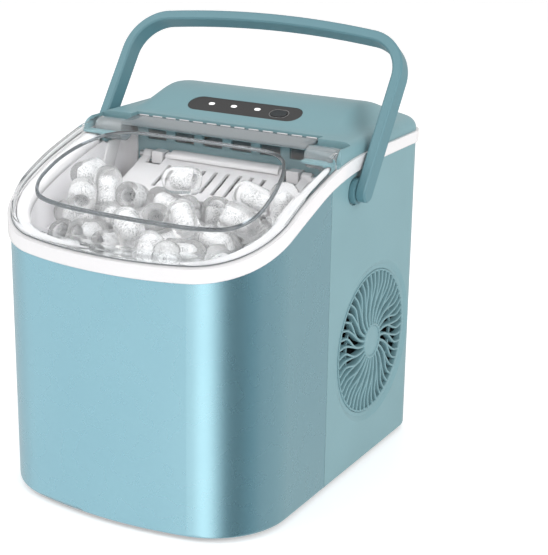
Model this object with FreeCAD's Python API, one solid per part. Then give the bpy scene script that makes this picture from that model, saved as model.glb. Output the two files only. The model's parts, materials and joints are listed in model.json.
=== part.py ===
"""Counter-top ice maker with a clear lid and a bail handle.

Frame: origin at the centre of the footprint on the table, +X to the right,
-Y to the front, +Z up. Millimetres.
"""
import FreeCAD, Part
import math
import os

V = FreeCAD.Vector
X_AXIS = V(1, 0, 0)
Y_AXIS = V(0, 1, 0)
Z_AXIS = V(0, 0, 1)

# ---------------------------------------------------------------- driving dimensions
# body
BODY_HALF = 112.0          # half width of the shells
BODY_FRONT = -141.0        # foremost point of the bulged front
BODY_REAR = 141.0
FRONT_CORNER_R = 60.0      # plan radius of the two front corners
FRONT_ARCH_R = 300.0       # plan radius of the bulged front face
REAR_CORNER_R = 20.0
WALL = 2.5                 # moulded wall
SHELL_BOTTOM = 3.0
BOTTOM_EDGE_R = 3.0
PAN_HEIGHT = 7.0
SEAM_Y = -16.0             # joint between front and rear shell
SEAM_GAP = 0.4
BAND_PROUD = 2.0           # the trim band stands this far out of the shells
BAND_WIDTH = 6.0

# side profile of the trim band: y, z along its lower and its upper edge
BAND_LOW = [(-150, 189.2), (-127, 193.3), (-106, 201.0), (-78, 213.3), (-49, 224.7),
            (-23, 234.0), (9, 240.6), (45, 243.4), (90, 244.0), (150, 244.0)]
BAND_HIGH = [(-150, 199.2), (-127, 203.5), (-106, 212.0), (-82, 223.0), (-57, 234.0),
             (-27, 243.5), (0, 250.0), (30, 252.8), (70, 253.0), (150, 253.0)]

# ice opening, tub and basket
MOUTH_HALF = 97.0
MOUTH_FRONT = -127.0
MOUTH_REAR = 28.0
MOUTH_CORNER_R = 46.0
FRAME_REAR = -4.0          # the white frame ends in front of the hinge pockets
TUB_FLOOR = 62.0
TANK_REAR = -6.0           # rear inner face of the water tank
CHAMBER_FLOOR = 142.0      # floor of the freezing chamber
CHAMBER_HALF = 84.0
CHAMBER_REAR = 100.0
BASKET_HALF = 88.0
BASKET_FRONT = -118.0
BASKET_REAR = -28.0
BASKET_BOTTOM = 120.0
BASKET_TOP = 190.0
BASKET_WALL = 2.0
BASKET_CORNER_R = 30.0

# ice
ICE_R = 10.5
ICE_LENGTH = 30.0
ICE_PITCH_X = 33.0
ICE_PITCH_Y = 21.5
ICE_PITCH_Z = 22.0

# lid
LID_INSET = 1.0            # from the shell's outline
LID_RISE = 8.5             # top of the lid above the band
LID_SHEET = 2.5
LID_SEAT_GAP = 0.3
LID_AXIS = V(0, 8.0, 250.5)
BARREL_R = 8.5
BARREL_IN = 80.0
BARREL_OUT = 107.0
HINGE_PIN_R = 2.0
STRIP_HALF = 80.0
STRIP_REAR = 24.0
WINDOW_RIB = 2.2
WINDOW_POINTS = 48         # points of the smooth window outline

# hood
PLATEAU_Z = 262.6
HUMP_HALF = 80.0
HUMP_FOOT_HALF = 101.0
HOOD_FRONT = 26.0
HOOD_WALL_Y = 29.5
HOOD_EDGE_R = 9.0
HOOD_SIDE_WALL = 5.0
# y, z along the crest line of the hood
HOOD_LINE = [(-30, 262.6), (26, 262.6), (34, 263.4), (42, 266.2), (60, 273.4), (72, 277.0),
             (84, 278.2), (104, 275.6), (122, 269.8), (134, 264.6), (150, 258.0)]
PANEL_HALF = 50.0
PANEL_LOW = (42.0, 266.2)
PANEL_HIGH = (60.0, 273.4)
BUTTON_X = 31.0
LENS_X = (-30.0, -10.0, 11.0)

# handle
HANDLE_AXIS = V(0, 20.0, 227.0)
HANDLE_LEAN = 35.0         # degrees back from upright
HANDLE_INNER = 115.5
HANDLE_THICK = 8.0
HANDLE_WIDTH = 15.0
HANDLE_REACH = 131.0       # pivot to the outside of the crossbar
HANDLE_CORNER_R = 36.0
HANDLE_ARCH_R = 768.0
HANDLE_CHAMFER = 1.2
PIVOT_PIN_R = 4.0
BOSS_R = 9.5
RUN_FIT = 0.05             # radial running clearance

# air side
FAN_Y = 61.0
FAN_Z = 98.0
GRILLE_R = 56.7
GRILLE_DEPTH = 7.0
DISH_R = 63.5
HUB_R = 14.0
FIN_TRUNKS = 24
FIN_WIDTH = 1.9
FIN_SWIRL = math.radians(15)
FAN_R = 45.0
FAN_BLADES = 7

# ice paddle and tray
PADDLE_AXIS = V(0, 25.0, 229.5)
PADDLE_HALF = 74.0
PADDLE_REACH = 47.0
PADDLE_DROP = 24.0         # degrees below level at rest
PADDLE_THICK = 2.5
PADDLE_SLOTS = 9
SHAFT_R = 2.5
TRAY_AXIS = V(0, 72.0, 208.0)
TRAY_HALF = 64.0
FINGERS = 9
FINGER_PITCH = 12.5

# cooling plant
COMPRESSOR_X = -36.0
COMPRESSOR_Y = 86.0
COMPRESSOR_R = 44.0
COMPRESSOR_BOTTOM = 22.0
COMPRESSOR_TOP = 114.0
SUCTION_X = -58.0
SUCTION_Z = 234.0
TUBE_R = 2.5

CONDENSER_X = (36.0, 60.0)
CONDENSER_FINS = 18
CONDENSER_PITCH = 5.2
CONDENSER_ROWS = (32.0, 50.0, 68.0, 86.0, 104.0, 122.0)

# fan, from inside to outside along X
FAN_MOTOR_X = (68.0, 86.0)
FAN_SEAT_X = (86.0, 91.0)
FAN_HUB_X = (93.0, 103.5)
FAN_SHAFT_R = 2.0
FAN_PITCH = 68.0           # degrees that a blade is turned out of the shaft's direction

# ice making
FINGER_Y = 51.0
FINGER_R = 4.0
FINGER_TOP = 223.0
FINGER_BOTTOM = 195.0      # centre of the round tip
TRAY_FRONT = 34.0
TRAY_REAR = 68.0
TRAY_BOTTOM = 186.0
TRAY_RIM = 206.0
BEARING_X = (55.0, 65.0)
COVER_HALF = 48.0
COVER_R = 5.7
SENSOR_Y = -34.0
SENSOR_Z = 214.0
SENSOR_OUT = 106.5

# water
PUMP_X = (-92.0, -62.0)
PUMP_Y = (-36.0, -12.0)
PUMP_TOP = 84.0
RISER_X = -89.0
RISER_Y = -17.0
DRAIN_X = -86.0
DRAIN_TANK_Z = 70.0
DRAIN_Z = 30.0
DRAIN_TUBE_R = 4.0

# underside and back
FOOT_X = 84.0
FOOT_Y = (-92.0, 112.0)
FOOT_R = 9.0
INLET_X = (62.0, 90.0)
INLET_Z = (34.0, 54.0)
SCREW_X = 85.5
SCREW_Z = (14.0, 210.0)
LOUVRE_PITCH = 9.0
LOUVRE_HEIGHT = 4.0

FAR = 400.0


# ---------------------------------------------------------------- helpers
def box(x0, x1, y0, y1, z0, z1):
    return Part.makeBox(x1 - x0, y1 - y0, z1 - z0, V(x0, y0, z0))


def rod(start, direction, radius, length):
    return Part.makeCylinder(radius, length, start, direction)


def x_rod(x0, x1, y, z, radius):
    return rod(V(x0, y, z), X_AXIS, radius, x1 - x0)


def tube_run(points, radius):
    """Round rod along straight runs with a ball at each corner."""
    pieces = []
    for start, end in zip(points, points[1:]):
        run = end.sub(start)
        pieces.append(rod(start, run, radius, run.Length))
    for corner in points[1:-1]:
        pieces.append(Part.makeSphere(radius, corner))
    return pieces[0].multiFuse(pieces[1:])


def both_sides(shape):
    """The shape and its mirror image in the YZ plane."""
    return [shape, shape.mirror(V(0, 0, 0), X_AXIS)]


def fuse(shapes):
    result = shapes[0].multiFuse(shapes[1:])
    return result.removeSplitter()


def group(shapes):
    return Part.makeCompound(shapes)


def arch_points(half, front, corner, arch):
    """Points of an arched front with round corners, for x >= 0.

    Returns the joint between arch and corner, the middle of the corner and its
    end on the side, as (x, y) pairs.
    """
    arch_y = front + arch
    corner_x = half - corner
    corner_y = arch_y - math.sqrt((arch - corner) ** 2 - corner_x ** 2)
    joint_angle = math.atan2(corner_y - arch_y, corner_x)
    joint = (arch * math.cos(joint_angle), arch_y + arch * math.sin(joint_angle))
    middle_angle = joint_angle / 2
    middle = (corner_x + corner * math.cos(middle_angle), corner_y + corner * math.sin(middle_angle))
    return joint, middle, (half, corner_y)


def plan_wire(half, front, corner, arch, rear, rear_corner, z):
    """Closed outline: arched front, round front corners, square or round rear."""
    joint, middle, side = arch_points(half, front, corner, arch)

    def p(point, sign=1):
        return V(sign * point[0], point[1], z)

    def arc(a, b, c):
        return Part.Arc(a, b, c).toShape()

    diagonal = rear_corner * (1 - math.sqrt(0.5))
    rear_side = (half, rear - rear_corner)
    rear_mid = (half - diagonal, rear - diagonal)
    rear_end = (half - rear_corner, rear)
    edges = [arc(p(joint, -1), V(0, front, z), p(joint)),
             arc(p(joint), p(middle), p(side)),
             Part.makeLine(p(side), p(rear_side)),
             arc(p(rear_side), p(rear_mid), p(rear_end)),
             Part.makeLine(p(rear_end), p(rear_end, -1)),
             arc(p(rear_end, -1), p(rear_mid, -1), p(rear_side, -1)),
             Part.makeLine(p(rear_side, -1), p(side, -1)),
             arc(p(side, -1), p(middle, -1), p(joint, -1))]
    return Part.Wire(edges)


def body_prism(inset, z0=-10.0, z1=FAR):
    """Upright prism on the body's outline, moved inwards by inset."""
    wire = plan_wire(BODY_HALF - inset, BODY_FRONT + inset, FRONT_CORNER_R - inset,
                     FRONT_ARCH_R - inset, BODY_REAR - inset, REAR_CORNER_R - inset, z0)
    return Part.Face(wire).extrude(V(0, 0, z1 - z0))


def mouth_prism(outset, rear, z0=-10.0, z1=FAR):
    """Upright prism on the ice opening's outline, moved outwards by outset."""
    wire = plan_wire(MOUTH_HALF + outset, MOUTH_FRONT - outset, MOUTH_CORNER_R + outset,
                     FRONT_ARCH_R - 14.0 + outset, rear, 4.0, z0)
    return Part.Face(wire).extrude(V(0, 0, z1 - z0))


def under_line(line, lift, bottom=-20.0):
    """Everything below a side profile line, raised by lift."""
    points = [V(-FAR / 2, y, z + lift) for y, z in line]
    curve = Part.BSplineCurve()
    curve.interpolate(Points=points, InitialTangent=V(0, 1, 0), FinalTangent=V(0, 1, 0))
    first = points[0]
    last = points[-1]
    low_first = V(first.x, first.y, bottom)
    low_last = V(last.x, last.y, bottom)
    wire = Part.Wire([curve.toShape(), Part.makeLine(last, low_last),
                      Part.makeLine(low_last, low_first), Part.makeLine(low_first, first)])
    return Part.Face(wire).extrude(V(FAR, 0, 0))


def between(line_low, lift_low, line_high, lift_high):
    return under_line(line_high, lift_high).cut(under_line(line_low, lift_low, -30.0))


def hinge_clearance(margin):
    """Room round the lid's two hinge barrels."""
    right = x_rod(BARREL_IN - 2, BARREL_OUT + 1.5, LID_AXIS.y, LID_AXIS.z, BARREL_R + margin)
    return both_sides(right)


def turned(shape, axis_point, degrees):
    shape = shape.copy()
    shape.rotate(axis_point, X_AXIS, degrees)
    return shape


# ---------------------------------------------------------------- casing
def shell_block():
    """Both outer shells in one piece: a hollow cup under the band's lower edge."""
    outer = body_prism(0, SHELL_BOTTOM, FAR)
    rim = [e for e in outer.Edges if abs(e.BoundBox.ZMax - SHELL_BOTTOM) < 0.01]
    outer = outer.makeFillet(BOTTOM_EDGE_R, rim)
    hollow = body_prism(WALL, SHELL_BOTTOM - 1, FAR)
    return outer.cut(hollow).common(under_line(BAND_LOW, -0.1))


def front_shell(block):
    return block.common(box(-FAR, FAR, -FAR, SEAM_Y - SEAM_GAP / 2, 0, FAR))


def louvres():
    """Slots of the air inlet on the left side and on the back."""
    cutters = []
    for i in range(11):
        z = 50.0 + LOUVRE_PITCH * i
        cutters.append(box(-BODY_HALF - 5, -BODY_HALF + 5, 34, 104, z, z + LOUVRE_HEIGHT))
    for i in range(9):
        z = 60.0 + LOUVRE_PITCH * i
        cutters.append(box(-70, 10, BODY_REAR - 5, BODY_REAR + 5, z, z + LOUVRE_HEIGHT))
    return cutters


def rear_shell(block):
    shell = block.common(box(-FAR, FAR, SEAM_Y + SEAM_GAP / 2, FAR, 0, FAR))
    tongue = body_prism(WALL, SHELL_BOTTOM + PAN_HEIGHT + 0.5, FAR).cut(body_prism(WALL + 1.5, 0, FAR))
    tongue = tongue.common(under_line(BAND_LOW, -0.1)).common(box(-FAR, FAR, -22, -10, 0, FAR))
    shell = shell.fuse(tongue)
    dish = Part.makeCone(DISH_R - 3.5, DISH_R, 2.0, V(BODY_HALF - 2.0, FAN_Y, FAN_Z), X_AXIS)
    seat = x_rod(100, 120, FAN_Y, FAN_Z, GRILLE_R + 0.3)
    pad = x_rod(BODY_HALF - GRILLE_DEPTH, BODY_HALF - 1.0, FAN_Y, FAN_Z, DISH_R + 1.5)
    pins = x_rod(-FAR, FAR, HANDLE_AXIS.y, HANDLE_AXIS.z, PIVOT_PIN_R + RUN_FIT)
    pocket = both_sides(x_rod(BODY_HALF - 1.0, BODY_HALF + 5, HANDLE_AXIS.y, HANDLE_AXIS.z, BOSS_R + 1.2))
    drain = rod(V(DRAIN_X, BODY_REAR - 11, DRAIN_Z), Y_AXIS, DRAIN_TUBE_R + 3, 30)
    inlet = box(*INLET_X, BODY_REAR - 11, BODY_REAR + 9, *INLET_Z)
    shell = shell.fuse(pad)
    return shell.cut([dish, seat, pins, drain, inlet] + pocket + louvres()).removeSplitter()


def trim_band():
    ring = body_prism(-BAND_PROUD).cut(body_prism(BAND_WIDTH - BAND_PROUD))
    band = ring.common(between(BAND_LOW, 0, BAND_HIGH, 0))
    return band.cut(x_rod(-BODY_HALF + 0.6, BODY_HALF - 0.6, LID_AXIS.y, LID_AXIS.z, HINGE_PIN_R))


def inner_frame():
    """White flange between the trim band and the ice opening, with the hood's seat."""
    gap = BAND_WIDTH - BAND_PROUD + 0.6
    flange = body_prism(gap).cut(mouth_prism(0, MOUTH_REAR))
    flange = flange.common(between(BAND_HIGH, -3.5, BAND_HIGH, -1.0))
    lip = mouth_prism(0, MOUTH_REAR).cut(mouth_prism(-2.0, MOUTH_REAR - 2.0))
    lip = lip.common(between(BAND_HIGH, -9.0, BAND_HIGH, -0.4))
    frame = flange.fuse(lip)
    return frame.cut([box(-FAR, FAR, FRAME_REAR, FAR, 0, FAR)] + hinge_clearance(3.4)).removeSplitter()


def tub():
    """Water tank in front, freezing chamber behind it, one moulding."""
    top = under_line(BAND_HIGH, -9.4)
    tank_out = mouth_prism(WALL, TANK_REAR + WALL, TUB_FLOOR - WALL, FAR)
    tank_in = mouth_prism(0, TANK_REAR, TUB_FLOOR, FAR)
    bay_out = mouth_prism(WALL, MOUTH_REAR + WALL, CHAMBER_FLOOR - WALL, FAR)
    bay_in = mouth_prism(0, MOUTH_REAR, CHAMBER_FLOOR, FAR)
    room_out = box(-CHAMBER_HALF - WALL, CHAMBER_HALF + WALL, 0, CHAMBER_REAR + WALL,
                   CHAMBER_FLOOR - WALL, FAR)
    room_in = box(-CHAMBER_HALF, CHAMBER_HALF, 0, CHAMBER_REAR, CHAMBER_FLOOR, FAR)
    outside = tank_out.multiFuse([bay_out, room_out]).common(top)
    hollow = tank_in.multiFuse([bay_in, room_in])
    shafts = x_rod(-95, 95, TRAY_AXIS.y, TRAY_AXIS.z, SHAFT_R + RUN_FIT)
    drain = rod(V(DRAIN_X, TANK_REAR - 3, DRAIN_TANK_Z), Y_AXIS, DRAIN_TUBE_R, 10)
    suction = rod(V(SUCTION_X, CHAMBER_REAR - 2, SUCTION_Z), Y_AXIS, TUBE_R + 0.3, 10)
    body = outside.cut([hollow, shafts, drain, suction] + hinge_clearance(3.4))
    return body.removeSplitter()


def tub_insulation():
    """Foam jacket round the water tank."""
    jacket = mouth_prism(WALL + 7.0, TANK_REAR + WALL, TUB_FLOOR, 178)
    core = mouth_prism(WALL + 0.2, FAR / 2, 0, FAR)
    return jacket.cut(core).cut(box(-FAR, FAR, -26, FAR, 0, FAR))


def base_pan():
    pan = body_prism(WALL + 0.2, SHELL_BOTTOM, SHELL_BOTTOM + PAN_HEIGHT)
    tray = body_prism(WALL + 2.7, SHELL_BOTTOM + 2.5, FAR)
    pan = pan.cut(tray)
    holes = [rod(V(x, y, 0), Z_AXIS, 2.2, 20) for x, y in foot_places()]
    return pan.cut(holes)


def foot_places():
    return [(x, y) for x in (-FOOT_X, FOOT_X) for y in FOOT_Y]


def rubber_feet():
    feet = []
    for x, y in foot_places():
        pad = Part.makeCone(FOOT_R, FOOT_R + 1, SHELL_BOTTOM, V(x, y, 0), Z_AXIS)
        head_room = rod(V(x, y, -1), Z_AXIS, 3.6, 2.4)
        shank_room = rod(V(x, y, -1), Z_AXIS, 1.7, 9)
        feet.append(pad.cut([head_room, shank_room]))
    return group(feet)


def foot_screws():
    screws = []
    for x, y in foot_places():
        head = rod(V(x, y, 0.4), Z_AXIS, 3.4, 1.0)
        shank = rod(V(x, y, 1.0), Z_AXIS, 1.6, 8.0)
        screws.append(head.fuse(shank))
    return group(screws)


# ---------------------------------------------------------------- hood and panel
def interpolated(line, y):
    """Height of a smooth line through the points at y (Catmull-Rom)."""
    last = len(line) - 2
    i = max(k for k in range(last + 1) if line[k][0] <= y or k == 0)
    y1, z1 = line[i]
    y2, z2 = line[i + 1]
    y0, z0 = line[i - 1] if i > 0 else (2 * y1 - y2, 2 * z1 - z2)
    y3, z3 = line[i + 2] if i < last else (2 * y2 - y1, 2 * z2 - z1)
    t = (y - y1) / (y2 - y1)
    m1 = (z2 - z0) / (y2 - y0) * (y2 - y1)
    m2 = (z3 - z1) / (y3 - y1) * (y2 - y1)
    return ((2 * t ** 3 - 3 * t ** 2 + 1) * z1 + (t ** 3 - 2 * t ** 2 + t) * m1
            + (3 * t ** 2 - 2 * t ** 3) * z2 + (t ** 3 - t ** 2) * m2)


def hood_height(x, y):
    """Height of the hood: a side plateau with a broad hump blended into it."""
    crest = interpolated(HOOD_LINE, y)
    side = min(PLATEAU_Z, crest)
    reach = (abs(x) - HUMP_HALF) / (HUMP_FOOT_HALF - HUMP_HALF)
    reach = min(max(reach, 0.0), 1.0)
    weight = 0.5 + 0.5 * math.cos(math.pi * reach)
    return side + (crest - side) * weight


def under_hood(lift):
    """Everything below the hood's surface, raised by lift."""
    half = 132.0
    columns = 45
    rows = 34
    grid = []
    for i in range(columns):
        x = -half + 2 * half * i / (columns - 1)
        row = []
        for j in range(rows):
            y = -20.0 + 169.0 * j / (rows - 1)
            row.append(V(x, y, hood_height(x, y) + lift))
        grid.append(row)
    surface = Part.BSplineSurface()
    surface.interpolate(grid)
    return surface.toShape().extrude(V(0, 0, -70))


def hood_outside():
    """The hood as a full block with rounded top edges."""
    block = body_prism(0, 225, 300).common(under_hood(0))
    top_edges = []
    for edge in block.Edges:
        low = edge.BoundBox
        on_top = low.ZMin > 254 and edge.Length > 15
        on_side = abs(max(abs(low.XMin), abs(low.XMax)) - BODY_HALF) < 0.01
        on_back = low.YMax > BODY_REAR - REAR_CORNER_R - 1
        if on_top and (on_side or on_back):
            top_edges.append(edge)
    return block.makeFillet(HOOD_EDGE_R, top_edges)


def hood_front_room():
    """Space in front of the hood: the strip's recess and the hinge pockets."""
    recess = box(-STRIP_HALF - 2, STRIP_HALF + 2, -60, HOOD_FRONT, 0, FAR)
    under = box(-STRIP_HALF - 2, STRIP_HALF + 2, -60, HOOD_WALL_Y, 0, 259.8)
    pocket = box(BARREL_IN - 2, BARREL_OUT + 1.5, -60, LID_AXIS.y + BARREL_R + 0.8, LID_AXIS.z, FAR)
    ahead = box(BARREL_OUT + 1.4, FAR, -60, LID_AXIS.y, LID_AXIS.z, FAR)
    foot = box(0, FAR, -60, -8.0, 0, FAR)
    sides = both_sides(pocket) + both_sides(ahead) + both_sides(foot)
    return [recess, under] + sides + hinge_clearance(0.8)


def pocket_floors():
    """Half-round floors under the outer ends of the lid's barrels, with webs to the hood."""
    x0 = BARREL_OUT - 9.5
    x1 = BARREL_OUT + 0.8
    bore_r = BARREL_R + 0.8
    floor = x_rod(x0, x1, LID_AXIS.y, LID_AXIS.z, bore_r + 2.0)
    floor = floor.cut(box(0, FAR, -FAR, FAR, LID_AXIS.z, FAR))
    rear = LID_AXIS.y + bore_r
    web = box(x0, x1, rear + 0.2, rear + 4.0, LID_AXIS.z - 4.5, LID_AXIS.z + 4.0)
    bore = x_rod(0, FAR, LID_AXIS.y, LID_AXIS.z, bore_r)
    return both_sides(floor.fuse(web).cut(bore))


def hood():
    outside = hood_outside().cut(under_line(BAND_HIGH, 0))
    inside = body_prism(HOOD_SIDE_WALL, 200, 300).common(under_hood(-WALL))
    inside = inside.common(box(-FAR, FAR, HOOD_WALL_Y + WALL, FAR, 0, FAR))
    side_rooms = box(STRIP_HALF + 4.5, BODY_HALF - HOOD_SIDE_WALL, 22, 40, 0, PLATEAU_Z - WALL)
    shell = outside.cut([inside] + both_sides(side_rooms) + hood_front_room())
    cheeks = both_sides(x_rod(BARREL_OUT + 1.5, BODY_HALF, LID_AXIS.y, LID_AXIS.z, 12.0))
    cheeks = [c.common(outside) for c in cheeks]
    wall = box(-STRIP_HALF - 4, STRIP_HALF + 4, HOOD_WALL_Y, HOOD_WALL_Y + WALL, 223, 261)
    openings = []
    for i in range(6):
        x = -75.0 + 25.5 * i
        openings.append(box(x, x + 17.5, 20, 40, 240.5, 248.5))
    shell = shell.multiFuse(cheeks + pocket_floors() + [wall.cut(openings)])
    pins = x_rod(-BODY_HALF + 0.6, BODY_HALF - 0.6, LID_AXIS.y, LID_AXIS.z, HINGE_PIN_R)
    cutters = [pins, panel_block(1.0), button_block(0.25, 12)] + lens_blocks(0.0, 12)
    return shell.cut(cutters).removeSplitter()


def panel_direction():
    rise = PANEL_HIGH[1] - PANEL_LOW[1]
    run = PANEL_HIGH[0] - PANEL_LOW[0]
    return math.degrees(math.atan2(rise, run))


def on_panel(shape):
    """Moves a shape drawn flat at the origin onto the middle of the panel slope."""
    shape = shape.copy()
    shape.rotate(V(0, 0, 0), X_AXIS, panel_direction())
    middle_y = (PANEL_LOW[0] + PANEL_HIGH[0]) / 2
    middle_z = (PANEL_LOW[1] + PANEL_HIGH[1]) / 2
    shape.translate(V(0, middle_y, middle_z))
    return shape


def pill(half_long, half_wide, z0, z1, x=0.0, y=0.0):
    """Flat bar with round ends along X."""
    straight = half_long - half_wide
    bar = box(x - straight, x + straight, y - half_wide, y + half_wide, z0, z1)
    ends = [rod(V(x + s * straight, y, z0), Z_AXIS, half_wide, z1 - z0) for s in (-1, 1)]
    return bar.multiFuse(ends).removeSplitter()


def panel_half_wide():
    run = PANEL_HIGH[0] - PANEL_LOW[0]
    rise = PANEL_HIGH[1] - PANEL_LOW[1]
    return math.hypot(run, rise) / 2


def panel_block(depth):
    return on_panel(pill(PANEL_HALF, panel_half_wide(), -depth, 3.0))


def button_block(margin, depth):
    return on_panel(pill(6.6 + margin, 4.4 + margin, -depth, 6.0, BUTTON_X, -0.8))


def lens_blocks(margin, depth):
    return [on_panel(pill(2.6 + margin, 1.7 + margin, -depth, 0.2, x, 1.2)) for x in LENS_X]


def control_panel():
    plate = on_panel(pill(PANEL_HALF - 0.1, panel_half_wide() - 0.1, -1.0, -0.2))
    return plate.cut([button_block(0.25, 12)] + lens_blocks(0.0, 12))


def indicator_lenses():
    return group([on_panel(pill(2.6, 1.7, -6.0, 0.0, x, 1.2)) for x in LENS_X])


def power_button():
    cap = on_panel(pill(6.6, 4.4, -3.0, 0.3, BUTTON_X, -0.8))
    stem = on_panel(rod(V(BUTTON_X, -0.8, -6.0), Z_AXIS, 2.0, 3.5))
    return cap.fuse(stem).removeSplitter()


def circuit_board():
    board = box(-48, 48, -9, 9, -11.0, -9.4)
    parts = [box(-36, -24, -6, 4, -13.5, -11.0), box(-8, 6, -5, 5, -13.0, -11.0),
             box(22, 40, -6, 6, -15.0, -11.0)]
    tact = box(BUTTON_X - 3, BUTTON_X + 3, -3.8, 2.2, -9.4, -6.8)
    return on_panel(fuse([board] + parts + [tact]))


# ---------------------------------------------------------------- lid
def window_curve():
    """Outline of the raised window: arched front, round corners, narrower rear."""
    right = [(30, -108.8), (58, -107.2), (80, -102.0), (91.0, -89.0), (92.5, -72), (90, -55), (84, -37),
             (74, -22), (58, -15.2), (30, -14.2)]
    left = [(-x, y) for x, y in reversed(right)]
    outline = [(0, -109.2)] + right + [(0, -14.0)] + left
    curve = Part.BSplineCurve()
    curve.interpolate(Points=[V(x, y, 0) for x, y in outline], PeriodicFlag=True)
    return curve


def window_prism(inset):
    """Upright prism on the window's outline, moved inwards by inset."""
    curve = window_curve()
    start = curve.FirstParameter
    span = curve.LastParameter - start
    points = []
    for i in range(WINDOW_POINTS):
        t = start + span * i / WINDOW_POINTS
        ahead = curve.tangent(t)[0]
        points.append(curve.value(t) + V(-ahead.y, ahead.x, 0) * inset)
    moved = Part.BSplineCurve()
    moved.interpolate(Points=points, PeriodicFlag=True)
    start = moved.FirstParameter
    end = moved.LastParameter
    middle = (start + end) / 2
    wire = Part.Wire([moved.toShape(start, middle), moved.toShape(middle, end)])
    return Part.Face(wire).extrude(V(0, 0, FAR))


def lid():
    outline = body_prism(LID_INSET)
    inner = body_prism(LID_INSET + LID_SHEET)
    crown = under_line(BAND_HIGH, LID_RISE)
    seat = under_line(BAND_HIGH, LID_SEAT_GAP, -30.0)
    under_sheet = under_line(BAND_HIGH, LID_RISE - LID_SHEET, -40.0)
    cover = outline.common(crown).common(box(-FAR, FAR, -FAR, LID_AXIS.y, 0, FAR)).cut(seat)
    cover = cover.cut(inner.common(under_sheet))
    side_relief = box(0, FAR, -9.0, 30, 0, FAR).common(under_sheet)
    end_relief = box(BARREL_OUT, FAR, -9.0, 30, 0, FAR)
    strip = box(-STRIP_HALF, STRIP_HALF, 0, STRIP_REAR, 0, FAR).common(crown).cut(under_sheet)
    cover = cover.cut(both_sides(side_relief) + both_sides(end_relief))
    window = window_prism(0).cut(window_prism(WINDOW_RIB))
    rib = window.common(between(BAND_HIGH, LID_RISE - 1.0, BAND_HIGH, LID_RISE + 2.0))
    barrels = both_sides(x_rod(BARREL_IN, BARREL_OUT, LID_AXIS.y, LID_AXIS.z, BARREL_R))
    body = cover.multiFuse([strip, rib] + barrels)
    bore_r = HINGE_PIN_R + RUN_FIT
    bores = both_sides(x_rod(BARREL_OUT - 12, BARREL_OUT + 1, LID_AXIS.y, LID_AXIS.z, bore_r))
    return body.cut(bores).removeSplitter()


def lid_hinge_pins():
    return group(both_sides(x_rod(BARREL_OUT - 10, BODY_HALF - 0.6, LID_AXIS.y, LID_AXIS.z, HINGE_PIN_R)))


# ---------------------------------------------------------------- handle
def handle_face(half, top, corner, arch, y):
    """U outline of the upright handle, open below, in the plane y."""
    joint, middle, side = arch_points(half, -top, corner, arch)

    def p(point, sign=1):
        return V(sign * point[0], y, HANDLE_AXIS.z - point[1])

    edges = [Part.makeLine(V(half, y, HANDLE_AXIS.z), p(side)),
             Part.Arc(p(side), p(middle), p(joint)).toShape(),
             Part.Arc(p(joint), V(0, y, HANDLE_AXIS.z + top), p(joint, -1)).toShape(),
             Part.Arc(p(joint, -1), p(middle, -1), p(side, -1)).toShape(),
             Part.makeLine(p(side, -1), V(-half, y, HANDLE_AXIS.z)),
             Part.makeLine(V(-half, y, HANDLE_AXIS.z), V(half, y, HANDLE_AXIS.z))]
    return Part.Face(Part.Wire(edges))


def handle():
    half = HANDLE_INNER + HANDLE_THICK
    y = HANDLE_AXIS.y - HANDLE_WIDTH / 2
    outer = handle_face(half, HANDLE_REACH, HANDLE_CORNER_R, HANDLE_ARCH_R, y)
    inner = handle_face(HANDLE_INNER, HANDLE_REACH - HANDLE_THICK, HANDLE_CORNER_R - HANDLE_THICK,
                        HANDLE_ARCH_R - HANDLE_THICK, y)
    bow = outer.cut(inner).extrude(V(0, HANDLE_WIDTH, 0))
    ends = both_sides(x_rod(HANDLE_INNER, half, HANDLE_AXIS.y, HANDLE_AXIS.z, HANDLE_WIDTH / 2))
    bow = bow.multiFuse(ends).removeSplitter()
    rim = [e for e in bow.Edges if is_handle_rim(e)]
    bow = bow.makeChamfer(HANDLE_CHAMFER, rim)
    bosses = both_sides(x_rod(BODY_HALF - 0.7, HANDLE_INNER, HANDLE_AXIS.y, HANDLE_AXIS.z, BOSS_R))
    pins = both_sides(x_rod(BODY_HALF - 9.0, BODY_HALF, HANDLE_AXIS.y, HANDLE_AXIS.z, PIVOT_PIN_R))
    whole = bow.multiFuse(bosses + pins).removeSplitter()
    return turned(whole, HANDLE_AXIS, -HANDLE_LEAN)


def is_handle_rim(edge):
    """True for the long edges on the front and the rear face of the bow."""
    bounds = edge.BoundBox
    flat = bounds.YMax - bounds.YMin < 0.01
    on_face = abs(abs(bounds.YMin - HANDLE_AXIS.y) - HANDLE_WIDTH / 2) < 0.01
    return flat and on_face and bounds.ZMin > HANDLE_AXIS.z - 1


def handle_retainers():
    """Clips on the inner ends of the pivot pins."""
    clip = x_rod(BODY_HALF - 8.0, BODY_HALF - WALL - 1.0, HANDLE_AXIS.y, HANDLE_AXIS.z, 8.0)
    clip = clip.cut(x_rod(0, FAR, HANDLE_AXIS.y, HANDLE_AXIS.z, PIVOT_PIN_R))
    return group(both_sides(clip))


# ---------------------------------------------------------------- air side
def smooth_step(t):
    t = min(max(t, 0.0), 1.0)
    return t * t * (3 - 2 * t)


def fin_path(turn, split, r0, r1, steps):
    """Points of one curved fin: radius r0 to r1, with a slight S swirl and a fork."""
    points = []
    for i in range(steps + 1):
        r = r0 + (r1 - r0) * i / steps
        along = (r - HUB_R) / (GRILLE_R - HUB_R)
        swirl = -FIN_SWIRL * smooth_step(along / 0.75) + FIN_SWIRL / 7 * smooth_step((along - 0.75) * 4)
        angle = turn + swirl + split * smooth_step((along - 0.27) / 0.46)
        points.append((r * math.cos(angle), r * math.sin(angle)))
    return points


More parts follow.
